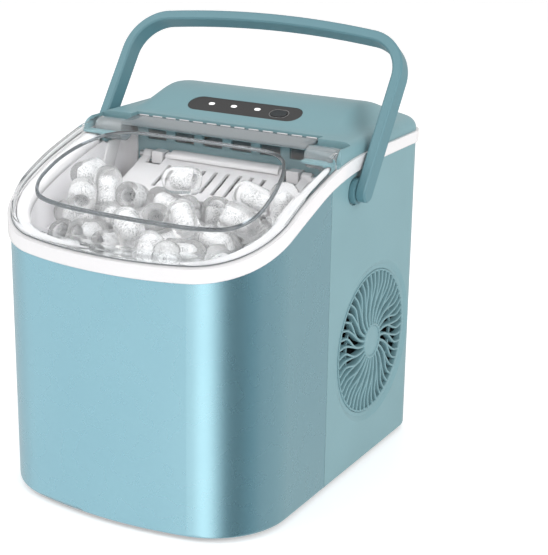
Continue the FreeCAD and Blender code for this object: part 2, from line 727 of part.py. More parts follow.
def fin_solid(turn, split, r0, r1, x0, x1):
    path = fin_path(turn, split, r0, r1, 7)
    left = []
    right = []
    for i, (a, b) in enumerate(path):
        a0, b0 = path[max(i - 1, 0)]
        a1, b1 = path[min(i + 1, len(path) - 1)]
        length = math.hypot(a1 - a0, b1 - b0)
        na = -(b1 - b0) / length * FIN_WIDTH / 2
        nb = (a1 - a0) / length * FIN_WIDTH / 2
        left.append(V(x0, FAN_Y + a + na, FAN_Z + b + nb))
        right.append(V(x0, FAN_Y + a - na, FAN_Z + b - nb))
    sides = []
    for points in (left, right):
        curve = Part.BSplineCurve()
        curve.interpolate(points)
        sides.append(curve.toShape())
    caps = [Part.makeLine(left[0], right[0]), Part.makeLine(left[-1], right[-1])]
    wire = Part.Wire(Part.__sortEdges__(sides + caps))
    return Part.Face(wire).extrude(V(x1 - x0, 0, 0))


def fan_grille():
    x1 = BODY_HALF - 0.3
    x0 = BODY_HALF - GRILLE_DEPTH + 0.5
    rim = x_rod(x0, x1 - 1.0, FAN_Y, FAN_Z, GRILLE_R).cut(x_rod(0, FAR, FAN_Y, FAN_Z, GRILLE_R - 1.6))
    hub = x_rod(x0, x1, FAN_Y, FAN_Z, HUB_R)
    ring_r = 0.68 * GRILLE_R
    ring = x_rod(x0, x0 + 2.0, FAN_Y, FAN_Z, ring_r + 0.9).cut(x_rod(0, FAR, FAN_Y, FAN_Z, ring_r - 0.9))
    fins = []
    step = 2 * math.pi / FIN_TRUNKS
    for i in range(FIN_TRUNKS):
        for sign in (-1, 1):
            fins.append(fin_solid(i * step, sign * step / 4, HUB_R - 1.0, GRILLE_R - 0.8, x0, x1 - 0.5))
    return fuse([rim, hub, ring] + fins)


def fan_shroud():
    """Round duct behind the grille, with four arms to the motor's seat."""
    duct = x_rod(89.5, 104, FAN_Y, FAN_Z, FAN_R + 6).cut(x_rod(0, FAR, FAN_Y, FAN_Z, FAN_R + 3))
    arms = []
    for turn in (45, 135, 225, 315):
        arm = box(88, 91, FAN_Y - 3, FAN_Y + 3, FAN_Z, FAN_Z + FAN_R + 5)
        arm.rotate(V(0, FAN_Y, FAN_Z), X_AXIS, turn)
        arms.append(arm)
    seat = x_rod(*FAN_SEAT_X, FAN_Y, FAN_Z, 18)
    return fuse([duct, seat] + arms).cut(x_rod(0, FAR, FAN_Y, FAN_Z, 6))


def fan_motor():
    can = x_rod(*FAN_MOTOR_X, FAN_Y, FAN_Z, 16)
    shaft = x_rod(FAN_MOTOR_X[1], FAN_HUB_X[1] - 1.5, FAN_Y, FAN_Z, FAN_SHAFT_R)
    return can.fuse(shaft)


def fan_blade():
    bore = x_rod(0, FAR, FAN_Y, FAN_Z, FAN_SHAFT_R + RUN_FIT)
    hub = x_rod(*FAN_HUB_X, FAN_Y, FAN_Z, 13)
    middle = (FAN_HUB_X[0] + FAN_HUB_X[1]) / 2
    blades = []
    for i in range(FAN_BLADES):
        blade = box(-0.8, 0.8, -13, 13, 11, FAN_R)
        blade = blade.common(rod(V(-5, 0, 0), X_AXIS, FAN_R, 10))
        blade.rotate(V(0, 0, 0), Z_AXIS, FAN_PITCH)
        blade = blade.common(rod(V(-5.2, 0, 0), X_AXIS, FAN_R, 10.4))
        blade.translate(V(middle, FAN_Y, FAN_Z))
        blade.rotate(V(0, FAN_Y, FAN_Z), X_AXIS, 360.0 * i / FAN_BLADES)
        blades.append(blade)
    return fuse([hub] + blades).cut(bore)


def condenser():
    """Finned block beside the fan on two sheet legs."""
    x0, x1 = CONDENSER_X
    front = 18.0
    rear = front + CONDENSER_PITCH * (CONDENSER_FINS - 1)
    fins = []
    for i in range(CONDENSER_FINS):
        y = front + CONDENSER_PITCH * i
        fins.append(box(x0, x1, y, y + 0.8, 22, 130))
    rows = [rod(V((x0 + x1) / 2, front - 4, z), Y_AXIS, 3.0, rear - front + 9.6) for z in CONDENSER_ROWS]
    legs = [box(x0, x1, y, y + 0.8, 5.5, 22) for y in (front, rear)]
    return fuse(fins + rows + legs)


def mount_places():
    """The four bolt places of the compressor's foot plate."""
    return [(COMPRESSOR_X + sx * 43.0, COMPRESSOR_Y + sy * 14.0) for sx in (-1, 1) for sy in (-1, 1)]


def compressor():
    """Hermetic can on a foot plate, with its electrical cover at the front."""
    can = rod(V(COMPRESSOR_X, COMPRESSOR_Y, COMPRESSOR_BOTTOM), Z_AXIS, COMPRESSOR_R,
              COMPRESSOR_TOP - COMPRESSOR_BOTTOM)
    rims = [e for e in can.Edges if e.BoundBox.ZMax - e.BoundBox.ZMin < 0.01]
    can = can.makeFillet(16, rims)
    plate = box(COMPRESSOR_X - 50, COMPRESSOR_X + 50, COMPRESSOR_Y - 22, COMPRESSOR_Y + 22, 14, 17)
    stem = rod(V(COMPRESSOR_X, COMPRESSOR_Y, 16), Z_AXIS, 26, 8)
    cover = box(COMPRESSOR_X - 14, COMPRESSOR_X + 14, COMPRESSOR_Y - 50, COMPRESSOR_Y - 40, 56, 92)
    holes = [rod(V(x, y, 10), Z_AXIS, 3, 12) for x, y in mount_places()]
    return fuse([can, plate, stem, cover]).cut(holes)


def compressor_mounts():
    mounts = []
    for x, y in mount_places():
        foot = rod(V(x, y, 5.5), Z_AXIS, 6, 8.5)
        neck = rod(V(x, y, 14), Z_AXIS, 3, 4)
        mounts.append(foot.fuse(neck))
    return group(mounts)


def refrigerant_tubes():
    """Discharge to the condenser, and suction from the evaporator over the chamber's rear wall."""
    top = COMPRESSOR_TOP - 4
    coil_x = (CONDENSER_X[0] + CONDENSER_X[1]) / 2
    coil_z = CONDENSER_ROWS[-1]
    discharge = [V(-20, 100, top), V(-20, 100, coil_z), V(coil_x, 118, coil_z), V(coil_x, 112, coil_z)]
    bends = [(108, top), (112, 133), (120, 136), (120, SUCTION_Z), (80, SUCTION_Z), (56, 231)]
    suction = [V(SUCTION_X, y, z) for y, z in bends]
    return group([tube_run(discharge, TUBE_R), tube_run(suction, TUBE_R)])


# ---------------------------------------------------------------- ice making
def evaporator():
    """Chilled plate with a row of fingers that dip into the tray."""
    reach = FINGER_PITCH * (FINGERS - 1) / 2
    half = TRAY_HALF - 2
    plate = box(-half, half, FINGER_Y - 9, FINGER_Y + 9, FINGER_TOP - 1, FINGER_TOP + 4)
    pipe = x_rod(-half, half, FINGER_Y, FINGER_TOP + 6, 3.0)
    fingers = []
    for i in range(FINGERS):
        x = -reach + FINGER_PITCH * i
        finger = rod(V(x, FINGER_Y, FINGER_BOTTOM), Z_AXIS, FINGER_R, FINGER_TOP - FINGER_BOTTOM)
        fingers.append(finger.fuse(Part.makeSphere(FINGER_R, V(x, FINGER_Y, FINGER_BOTTOM))))
    return fuse([plate, pipe] + fingers)


def evaporator_bracket():
    sides = both_sides(box(TRAY_HALF - 2, TRAY_HALF + 1, 38, 64, 218, 234))
    arms = both_sides(box(TRAY_HALF + 1, CHAMBER_HALF, 46, 58, 230, 233))
    pieces = [sides[i].fuse(arms[i]) for i in range(2)]
    return group(pieces)


def water_tray():
    outer = box(-TRAY_HALF, TRAY_HALF, TRAY_FRONT, TRAY_REAR, TRAY_BOTTOM, TRAY_RIM)
    half = TRAY_HALF - 2
    inner = box(-half, half, TRAY_FRONT + 2, TRAY_REAR - 2, TRAY_BOTTOM + 2, TRAY_RIM + 4)
    ear = box(TRAY_HALF - 4, TRAY_HALF, TRAY_REAR - 4, TRAY_REAR + 8, TRAY_RIM - 10, TRAY_RIM + 6)
    ears = both_sides(ear)
    tray = outer.cut(inner).multiFuse(ears)
    return tray.cut(x_rod(-FAR, FAR, TRAY_AXIS.y, TRAY_AXIS.z, SHAFT_R)).removeSplitter()


def tray_shafts():
    inner = TRAY_HALF - 4
    return group(both_sides(x_rod(inner, CHAMBER_HALF + 8.0, TRAY_AXIS.y, TRAY_AXIS.z, SHAFT_R)))


def drive_motor():
    """Slow gear motor that tips the tray, outside the chamber's right wall."""
    wall = CHAMBER_HALF + WALL
    can = x_rod(wall + 6.0, 106, TRAY_AXIS.y, TRAY_AXIS.z, 17)
    y = TRAY_AXIS.y
    z = TRAY_AXIS.z
    plate = box(wall + 0.2, wall + 6.2, y - 24, y + 24, z - 22, z + 22)
    return can.fuse(plate).cut(x_rod(0, wall + 6.5, TRAY_AXIS.y, TRAY_AXIS.z, SHAFT_R + RUN_FIT))


def paddle_slots():
    cutters = []
    for i in range(PADDLE_SLOTS):
        x = -40.0 + 10.5 * i
        cutters.append(box(x - 1.7, x + 1.7, 11, 38, -5, 5))
    return cutters


def ice_paddle():
    """Slotted plate on its hub tube, drawn level along +Y and then swung to rest."""
    plate = box(-PADDLE_HALF, PADDLE_HALF, 0, PADDLE_REACH, -PADDLE_THICK / 2, PADDLE_THICK / 2)
    corners = [e for e in plate.Edges
               if abs(e.BoundBox.YMin - PADDLE_REACH) < 0.01 and e.BoundBox.ZLength > 1]
    plate = plate.makeFillet(7.0, corners)
    lip = box(-PADDLE_HALF + 8, PADDLE_HALF - 8, PADDLE_REACH - 2.0, PADDLE_REACH, -4.0, 0)
    tube = x_rod(-PADDLE_HALF, PADDLE_HALF, 0, 0, SHAFT_R + 1.2)
    blade = fuse([plate, lip, tube])
    gaps = both_sides(box(53, 67, -10, 12, -10, 10))
    blade = blade.cut(paddle_slots() + gaps + [x_rod(-FAR, FAR, 0, 0, SHAFT_R)])
    blade.rotate(V(0, 0, 0), Z_AXIS, 180)
    blade.rotate(V(0, 0, 0), X_AXIS, PADDLE_DROP)
    blade.translate(PADDLE_AXIS)
    return blade


def paddle_shaft():
    return x_rod(-PADDLE_HALF - 4, PADDLE_HALF + 4, PADDLE_AXIS.y, PADDLE_AXIS.z, SHAFT_R)


def paddle_bearings():
    """Hanging blocks that carry the paddle's shaft."""
    block = box(*BEARING_X, PADDLE_AXIS.y - 5, HOOD_WALL_Y, PADDLE_AXIS.z - 5, PADDLE_AXIS.z + 4)
    block = block.cut(x_rod(0, FAR, PADDLE_AXIS.y, PADDLE_AXIS.z, SHAFT_R + RUN_FIT))
    return group(both_sides(block))


def cover_bar():
    """Half-round cover over the middle of the paddle's shaft."""
    x0, x1 = -COVER_HALF, COVER_HALF
    outer = x_rod(x0, x1, PADDLE_AXIS.y, PADDLE_AXIS.z, COVER_R)
    inner = x_rod(x0 - 2, x1 + 2, PADDLE_AXIS.y, PADDLE_AXIS.z, COVER_R - 1.5)
    leg = box(x0, x1, PADDLE_AXIS.y, HOOD_WALL_Y, PADDLE_AXIS.z + 3.0, PADDLE_AXIS.z + 5.0)
    lower = box(x0 - 2, x1 + 2, 0, 60, 200, PADDLE_AXIS.z + 0.3)
    behind = box(x0 - 2, x1 + 2, HOOD_WALL_Y, 60, 200, 260)
    return outer.fuse(leg).cut([inner, lower, behind]).removeSplitter()


def ice_sensors():
    """Light beam pair that looks across the full basket, outside the tub's walls."""
    wall = MOUTH_HALF + WALL
    eye = x_rod(wall + 0.1, SENSOR_OUT, SENSOR_Y, SENSOR_Z, 4.0)
    block = box(wall + 2, SENSOR_OUT, SENSOR_Y - 8, SENSOR_Y + 8, SENSOR_Z - 8, SENSOR_Z + 8)
    return group(both_sides(eye.fuse(block).removeSplitter()))


def water_pump():
    """Pump in the tank's rear left corner, intake to the right, outlet upwards."""
    body = box(*PUMP_X, *PUMP_Y, TUB_FLOOR, PUMP_TOP)
    intake = x_rod(PUMP_X[1], PUMP_X[1] + 4, -24, 74, 6)
    outlet = rod(V(RISER_X, RISER_Y, PUMP_TOP), Z_AXIS, 3.0, 5)
    return body.multiFuse([intake, outlet]).removeSplitter()


def pump_tube():
    """Riser from the pump to the tray."""
    route = [V(RISER_X, RISER_Y, PUMP_TOP + 5), V(-92, -12, 110), V(-92, -12, 200), V(-80, 30, 214),
             V(-76, 50, 214), V(-58, 40, 214), V(-58, 40, 209)]
    return tube_run(route, 2.6)


def basket_slots():
    """Drain slots in the basket's floor."""
    cutters = []
    for i in range(7):
        x = -66.0 + 22.0 * i
        cutters.append(box(x - 5, x + 5, BASKET_FRONT + 20, BASKET_REAR - 14, 100, BASKET_BOTTOM + 5))
    return cutters


def basket_block(inset, corner, bottom, top):
    """Upright block with two round front corners, moved inwards by inset."""
    half = BASKET_HALF - inset
    block = box(-half, half, BASKET_FRONT + inset, BASKET_REAR - inset, bottom, top)
    middle = (BASKET_FRONT + BASKET_REAR) / 2
    upright = [e for e in block.Edges if e.BoundBox.ZLength > 10 and e.BoundBox.YMax < middle]
    return block.makeFillet(corner, upright)


def ice_basket():
    outer = basket_block(0, BASKET_CORNER_R, BASKET_BOTTOM, BASKET_TOP)
    corner = BASKET_CORNER_R - BASKET_WALL
    inner = basket_block(BASKET_WALL, corner, BASKET_BOTTOM + BASKET_WALL, BASKET_TOP + 10)
    tabs = both_sides(box(BASKET_HALF - 1, MOUTH_HALF - 1.0, -80, -50, BASKET_TOP - 3, BASKET_TOP))
    return outer.cut(inner).multiFuse(tabs).cut(basket_slots()).removeSplitter()


def basket_rests():
    """Ledges on the tub's side walls that carry the basket's rim tabs."""
    ledge = box(MOUTH_HALF - 5, MOUTH_HALF, -78, -52, BASKET_TOP - 9, BASKET_TOP - 3)
    return group(both_sides(ledge))


def bullet(x, y, z):
    """One bullet of ice lying along X: one round end, one flat hollow end."""
    start = x - ICE_LENGTH / 2
    straight = ICE_LENGTH - ICE_R
    body = rod(V(start, y, z), X_AXIS, ICE_R, straight)
    body = body.fuse(Part.makeSphere(ICE_R, V(start + straight, y, z)))
    return body.cut(rod(V(start - 1, y, z), X_AXIS, 4.0, 20)).removeSplitter()


def ice_bullets():
    """Even layers of bullets; the front row is shorter because of the basket's round corners."""
    pieces = []
    for layer in range(4):
        z = BASKET_BOTTOM + BASKET_WALL + ICE_R + 0.5 + ICE_PITCH_Z * layer
        full = layer < 3
        y_start = -105.2 if full else -95.0
        for row in range(4 if full else 3):
            count = (5 if full else 4) - (2 if row == 0 else 0)
            for column in range(count):
                x = ICE_PITCH_X * (column - (count - 1) / 2)
                pieces.append(bullet(x, y_start + ICE_PITCH_Y * row, z))
    return group(pieces)


def drain():
    """Outlet tube from the tank to the back wall."""
    route = [V(DRAIN_X, TANK_REAR, DRAIN_TANK_Z), V(DRAIN_X, 20, DRAIN_TANK_Z), V(DRAIN_X, 28, DRAIN_Z),
             V(DRAIN_X, BODY_REAR - 7, DRAIN_Z)]
    outside = tube_run(route, DRAIN_TUBE_R)
    return outside.cut(rod(V(DRAIN_X, BODY_REAR - 23, DRAIN_Z), Y_AXIS, 2.6, 40))


def drain_plug():
    cap = rod(V(DRAIN_X, BODY_REAR + 0.1, DRAIN_Z), Y_AXIS, 9.0, 1.9)
    stem = rod(V(DRAIN_X, BODY_REAR - 15, DRAIN_Z), Y_AXIS, 2.5, 16)
    return cap.fuse(stem)


def power_inlet():
    """Three-pin appliance inlet with its flange on the back wall."""
    x0, x1 = INLET_X
    z0, z1 = INLET_Z
    body = box(x0 + 0.2, x1 - 0.2, BODY_REAR - 21, BODY_REAR, z0 + 0.2, z1 - 0.2)
    flange = box(x0 - 3, x1 + 3, BODY_REAR, BODY_REAR + 1.6, z0 - 3, z1 + 3)
    cavity = box(x0 + 4, x1 - 4, BODY_REAR - 15, BODY_REAR + 19, z0 + 3, z1 - 3)
    middle = (x0 + x1) / 2
    blades = [box(middle + s - 1, middle + s + 1, BODY_REAR - 17, BODY_REAR - 3, z0 + 8, z0 + 13)
              for s in (-6.0, 0.0, 6.0)]
    return body.fuse(flange).cut(cavity).multiFuse(blades).removeSplitter()


def shell_screws():
    """Heads of the screws that close the back."""
    places = [(x, z) for x in (-SCREW_X, SCREW_X) for z in SCREW_Z]
    return group([rod(V(x, BODY_REAR, z), Y_AXIS, 3.2, 1.2) for x, z in places])


# ---------------------------------------------------------------- assembly
def main():
    os.makedirs("parts", exist_ok=True)
    block = shell_block()
    nodes = {
        "base_pan": base_pan(), "rubber_feet": rubber_feet(), "foot_screws": foot_screws(),
        "front_shell": front_shell(block), "rear_shell": rear_shell(block),
        "trim_band": trim_band(), "inner_frame": inner_frame(), "inner_tub": tub(),
        "tub_insulation": tub_insulation(), "hood": hood(), "control_panel": control_panel(),
        "indicator_lenses": indicator_lenses(), "power_button": power_button(),
        "circuit_board": circuit_board(), "lid": lid(), "lid_hinge_pins": lid_hinge_pins(),
        "handle": handle(), "handle_retainers": handle_retainers(), "fan_grille": fan_grille(),
        "fan_shroud": fan_shroud(), "fan_motor": fan_motor(), "fan_blade": fan_blade(),
        "condenser": condenser(), "compressor": compressor(),
        "compressor_mounts": compressor_mounts(), "refrigerant_tubes": refrigerant_tubes(),
        "evaporator": evaporator(), "evaporator_bracket": evaporator_bracket(),
        "water_tray": water_tray(), "tray_shafts": tray_shafts(), "drive_motor": drive_motor(),
        "ice_paddle": ice_paddle(), "paddle_shaft": paddle_shaft(),
        "paddle_bearings": paddle_bearings(), "cover_bar": cover_bar(),
        "ice_sensors": ice_sensors(), "water_pump": water_pump(), "pump_tube": pump_tube(),
        "ice_basket": ice_basket(), "basket_rests": basket_rests(), "ice_bullets": ice_bullets(),
        "drain_tube": drain(), "drain_plug": drain_plug(), "power_inlet": power_inlet(),
        "shell_screws": shell_screws(),
    }
    for name, shape in nodes.items():
        shape.exportStep("parts/" + name + ".step")
        print(name, shape.isValid(), len(shape.Solids), round(shape.Volume / 1000, 1))


main()
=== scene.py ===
"""Looks of a counter-top ice maker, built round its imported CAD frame.

Frame: metres, origin on the table under the middle of the machine, +X to the
right, -Y to the front, +Z up.
"""
import json
import math
import random

import bmesh
import bpy
import numpy as np
from mathutils import Euler, Matrix, Vector, noise


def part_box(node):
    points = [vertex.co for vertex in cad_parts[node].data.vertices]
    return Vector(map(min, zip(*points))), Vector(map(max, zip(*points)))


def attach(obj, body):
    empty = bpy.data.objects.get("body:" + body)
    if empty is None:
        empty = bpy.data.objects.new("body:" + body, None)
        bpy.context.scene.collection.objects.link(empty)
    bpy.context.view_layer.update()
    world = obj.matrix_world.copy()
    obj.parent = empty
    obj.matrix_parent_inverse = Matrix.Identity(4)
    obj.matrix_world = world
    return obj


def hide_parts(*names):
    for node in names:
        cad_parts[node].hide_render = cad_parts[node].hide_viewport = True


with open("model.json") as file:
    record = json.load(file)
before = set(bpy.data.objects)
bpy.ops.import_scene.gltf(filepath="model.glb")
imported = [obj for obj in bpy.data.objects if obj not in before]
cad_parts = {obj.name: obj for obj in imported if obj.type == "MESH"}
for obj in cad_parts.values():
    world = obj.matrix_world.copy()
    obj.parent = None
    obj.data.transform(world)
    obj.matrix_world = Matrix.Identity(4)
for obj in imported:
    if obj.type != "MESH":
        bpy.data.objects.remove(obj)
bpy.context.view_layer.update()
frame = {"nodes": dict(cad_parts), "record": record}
SCENE = bpy.context.scene
MM = 0.001

# ---------------------------------------------------------------- driving dimensions, mm
BODY_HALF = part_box("rear_shell")[1].x / MM
BODY_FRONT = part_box("front_shell")[0].y / MM
FRONT_CORNER_R = 60.0
FRONT_ARCH_R = 300.0
BAND_WIDTH = 6.0
BAND_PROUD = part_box("trim_band")[1].x / MM - BODY_HALF
BAND_HIGH = [(-150, 199.2), (-127, 203.5), (-106, 212.0), (-82, 223.0), (-57, 234.0),
             (-27, 243.5), (0, 250.0), (30, 252.8), (70, 253.0), (150, 253.0)]

MOUTH_HALF = 97.0
MOUTH_FRONT = -127.0
MOUTH_CORNER_R = 46.0
MOUTH_ARCH_R = FRONT_ARCH_R - 14.0
FRAME_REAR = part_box("inner_frame")[1].y / MM

LID_INSET = 1.0
LID_RISE = 8.5
LID_SHEET = 2.5
LID_SEAT_GAP = 0.3
LID_EDGE_R = 4.0
LID_SIDE_REAR = -9.0
LID_REAR = 8.0
LID_SHOULDER = 107.0
STRIP_HALF = 80.0
STRIP_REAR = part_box("lid")[1].y / MM
LID_AXIS = Vector((0.0, 8.0, 250.5))
BARREL_R = 8.5
BARREL_IN = 80.0
BARREL_OUT = 107.0
PIN_R = 2.05
WINDOW_OUTLINE = [(0, -109.2), (30, -108.8), (58, -107.2), (80, -102.0), (91, -89), (92.5, -72), (90, -55),
                  (84, -37), (74, -22), (58, -15.2), (30, -14.2), (0, -14.0)]

PANEL_LOW = Vector((0.0, 42.0, 266.2))
PANEL_HIGH = Vector((0.0, 60.0, 273.4))
PANEL_MIDDLE = (PANEL_LOW + PANEL_HIGH) / 2
PANEL_SLOPE = math.degrees(math.atan2(PANEL_HIGH.z - PANEL_LOW.z, PANEL_HIGH.y - PANEL_LOW.y))

GRILLE_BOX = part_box("fan_grille")
FAN_Y = (GRILLE_BOX[0].y + GRILLE_BOX[1].y) / 2 / MM
FAN_Z = (GRILLE_BOX[0].z + GRILLE_BOX[1].z) / 2 / MM
GRILLE_R = (GRILLE_BOX[1].y - GRILLE_BOX[0].y) / 2 / MM
GRILLE_BACK = GRILLE_BOX[0].x / MM
GRILLE_FACE = GRILLE_BOX[1].x / MM
HUB_R = 14.0
FIN_TRUNKS = 24
FIN_SWIRL = math.radians(15)

BASKET = [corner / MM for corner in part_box("ice_basket")]
BASKET_HALF = 88.0
BASKET_WALL = 2.0
ICE_R = 10.5
ICE_LENGTH = 30.0
ICE_HOLE_R = 5.6
ICE_HOLE_DEPTH = 22.0
ICE_HOLE_ROWS = 6          # rows of the bullet's profile that line its hole


# ---------------------------------------------------------------- node materials
class Look:
    """A node material round one Principled shader."""

    def __init__(self, name, **sockets):
        self.material = bpy.data.materials.new(name)
        self.material.use_nodes = True
        self.tree = self.material.node_tree
        self.shader = self.tree.nodes["Principled BSDF"]
        self.place = self.add("TexCoord").outputs["Object"]
        self.set(**sockets)

    def add(self, kind, props=None, **inputs):
        """Adds a node: props are its settings, inputs its sockets, by name."""
        made = self.tree.nodes.new("ShaderNode" + kind)
        for key, value in (props or {}).items():
            setattr(made, key, value)
        self.feed(made, inputs)
        return made

    def set(self, **inputs):
        self.feed(self.shader, inputs)

    def feed(self, target, inputs):
        for key, value in inputs.items():
            socket = target.inputs[key.replace("_", " ")]
            if isinstance(value, bpy.types.NodeSocket):
                self.tree.links.new(value, socket)
            else:
                socket.default_value = value

    def noise(self, size, detail=3.0, **more):
        """Noise whose features are about size metres wide."""
        return self.add("TexNoise", Vector=self.place, Scale=1 / size, Detail=detail, **more).outputs["Fac"]

    def cells(self, size):
        """Distance to the nearest point of cells about size metres wide."""
        made = self.add("TexVoronoi", {"feature": "F1"}, Vector=self.place, Scale=1 / size)
        return made.outputs["Distance"]

    def ramp(self, factor, stops):
        """Colour ramp over a factor: stops are (place, colour)."""
        made = self.add("ValToRGB", Fac=factor)
        elements = made.color_ramp.elements
        while len(elements) < len(stops):
            elements.new(0.5)
        for element, (place, colour) in zip(elements, stops):
            element.position = place
            element.color = (*colour, 1.0)
        return made.outputs["Color"]

    def between(self, value, low, high):
        """Spreads a value from 0 to 1 over low to high."""
        return self.add("MapRange", Value=value, To_Min=low, To_Max=high).outputs["Result"]

    def relief(self, height, depth, edge=0.0):
        """Bumps of the given depth in metres, with the part's edges softened by edge metres."""
        made = self.add("Bump", Height=height, Strength=1.0, Distance=depth)
        if edge:
            self.feed(made, {"Normal": self.add("Bevel", {"samples": 4}, Radius=edge).outputs["Normal"]})
        self.set(Normal=made.outputs["Normal"])

    def lets_lamps_through(self):
        """Lets light from the lamps pass, so that what lies behind is lit."""
        output = self.tree.nodes["Material Output"]
        clear = self.add("BsdfTransparent")
        path = self.add("LightPath").outputs["Is Shadow Ray"]
        mix = self.add("MixShader", Fac=path)
        self.tree.links.new(self.shader.outputs["BSDF"], mix.inputs[1])
        self.tree.links.new(clear.outputs["BSDF"], mix.inputs[2])
        self.tree.links.new(mix.outputs["Shader"], output.inputs["Surface"])


def shades(colour, spread):
    """The colour a share darker and the same share lighter."""
    return [tuple(min(c * factor, 1.0) for c in colour) for factor in (1 - spread, 1 + spread)]


def moulded(name, colour, roughness, grain, depth, spread=0.03, edge=0.0005, **sockets):
    """Moulded plastic: slow change of shade, moulding grain, softened edges."""
    look = Look(name, **sockets)
    dark, light = shades(colour, spread)
    look.set(Base_Color=look.ramp(look.noise(0.06, 2.0), [(0.3, dark), (0.7, light)]))
    fine = look.noise(grain, 2.0)
    look.set(Roughness=look.between(fine, roughness - 0.04, roughness + 0.04))
    look.relief(fine, depth, edge)
    return look.material


def metal(name, colour, roughness, brush=None, edge=0.0003):
    """Bare metal; brush is the stretch of the grain along X, Y and Z."""
    look = Look(name, Metallic=1.0)
    if brush:
        look.place = look.add("Mapping", Vector=look.place, Scale=brush).outputs["Vector"]
    fine = look.noise(0.0012, 4.0)
    dark, light = shades(colour, 0.08)
    look.set(Base_Color=look.ramp(fine, [(0.3, dark), (0.7, light)]))
    look.set(Roughness=look.between(fine, roughness - 0.06, roughness + 0.08))
    look.relief(fine, 0.000004, edge)
    return look.material


def teal_metal():
    """Satin metallic paint under a thin clear coat, with slight drifts of shade and gloss."""
    look = Look("teal_metal", Metallic=0.86, Coat_Weight=0.10, Coat_Roughness=0.20)
    flakes = look.noise(0.005, 2.0)
    body = look.ramp(look.noise(0.09, 2.0), [(0.3, (0.300, 0.540, 0.632)), (0.7, (0.315, 0.560, 0.650))])
    glint = look.ramp(flakes, [(0.3, (0.985, 0.987, 0.989)), (0.7, (1.0, 1.0, 1.0))])
    mixed = look.add("Mix", {"data_type": "RGBA", "blend_type": "MULTIPLY"})
    mixed.inputs["Factor"].default_value = 1.0
    look.tree.links.new(body, mixed.inputs[6])
    look.tree.links.new(glint, mixed.inputs[7])
    look.set(Base_Color=mixed.outputs[2], Roughness=look.between(look.noise(0.02), 0.25, 0.30))
    return look.material


def clear_plastic(name, colour, ior, shine):
    """Clear moulded plastic with faint flow waves."""
    look = Look(name, Transmission_Weight=1.0, IOR=ior, Specular_IOR_Level=shine)
    wave = look.noise(0.02, 1.0)
    dark, light = shades(colour, 0.01)
    look.set(Base_Color=look.ramp(wave, [(0.3, dark), (0.7, light)]))
    look.set(Roughness=look.between(wave, 0.0, 0.02))
    look.relief(wave, 0.00008)
    look.lets_lamps_through()
    return look.material


def smoked_plastic(name, colour, clearness, roughness):
    """Thick or etched clear plastic, which looks grey and half see-through."""
    look = Look(name, Transmission_Weight=clearness, IOR=1.35)
    fine = look.noise(0.0008, 2.0)
    dark, light = shades(colour, 0.06)
    look.set(Base_Color=look.ramp(fine, [(0.3, dark), (0.7, light)]))
    look.set(Roughness=look.between(fine, roughness - 0.04, roughness + 0.04))
    look.relief(fine, 0.00001)
    return look.material


def ice_clear():
    """Clear outer ice with a softly melted surface."""
    look = Look("ice_clear", Transmission_Weight=0.84, IOR=1.25, Specular_IOR_Level=1.0)
    melt = look.noise(0.004, 2.0)
    look.set(Base_Color=look.ramp(melt, [(0.3, (0.96, 0.97, 0.975)), (0.7, (1.0, 1.0, 1.0))]))
    look.set(Roughness=look.between(melt, 0.02, 0.12))
    look.relief(melt, 0.0003)
    look.lets_lamps_through()
    return look.material


def ice_frost():
    """The frosted core round the hole that the chilled finger leaves."""
    look = Look("ice_frost", IOR=1.31, Specular_IOR_Level=1.0)
    grain = look.noise(0.0008, 2.0)
    patch = look.noise(0.006, 1.0)
    dark = look.ramp(patch, [(0.35, (0.25, 0.26, 0.27)), (0.65, (0.78, 0.80, 0.82))])
    speck = look.add("Mix", {"data_type": "RGBA"})
    speck.inputs[7].default_value = (1.0, 1.0, 1.0, 1.0)
    look.tree.links.new(look.ramp(grain, [(0.42, (0, 0, 0)), (0.52, (1, 1, 1))]), speck.inputs[0])
    look.tree.links.new(dark, speck.inputs[6])
    look.set(Base_Color=speck.outputs[2], Roughness=look.between(grain, 0.15, 0.55))
    look.set(Transmission_Weight=look.between(patch, 0.35, 0.0))
    look.relief(grain, 0.0005)
    return look.material


def circuit_green():
    look = Look("circuit_green", Coat_Weight=0.3)
    tracks = look.add("TexBrick", Vector=look.place, Scale=220.0).outputs["Fac"]
    look.set(Base_Color=look.ramp(tracks, [(0.2, (0.02, 0.14, 0.06)), (0.8, (0.05, 0.24, 0.10))]))
    look.set(Roughness=look.between(look.noise(0.002), 0.35, 0.5))
    look.relief(tracks, 0.00003)
    return look.material


def foam():
    look = Look("foam_cells")
    cells = look.cells(0.0016)
    look.set(Base_Color=look.ramp(cells, [(0.1, (0.80, 0.76, 0.62)), (0.8, (0.92, 0.89, 0.78))]))
    look.set(Roughness=look.between(cells, 0.8, 0.95))
    look.relief(cells, 0.0003)
    return look.material


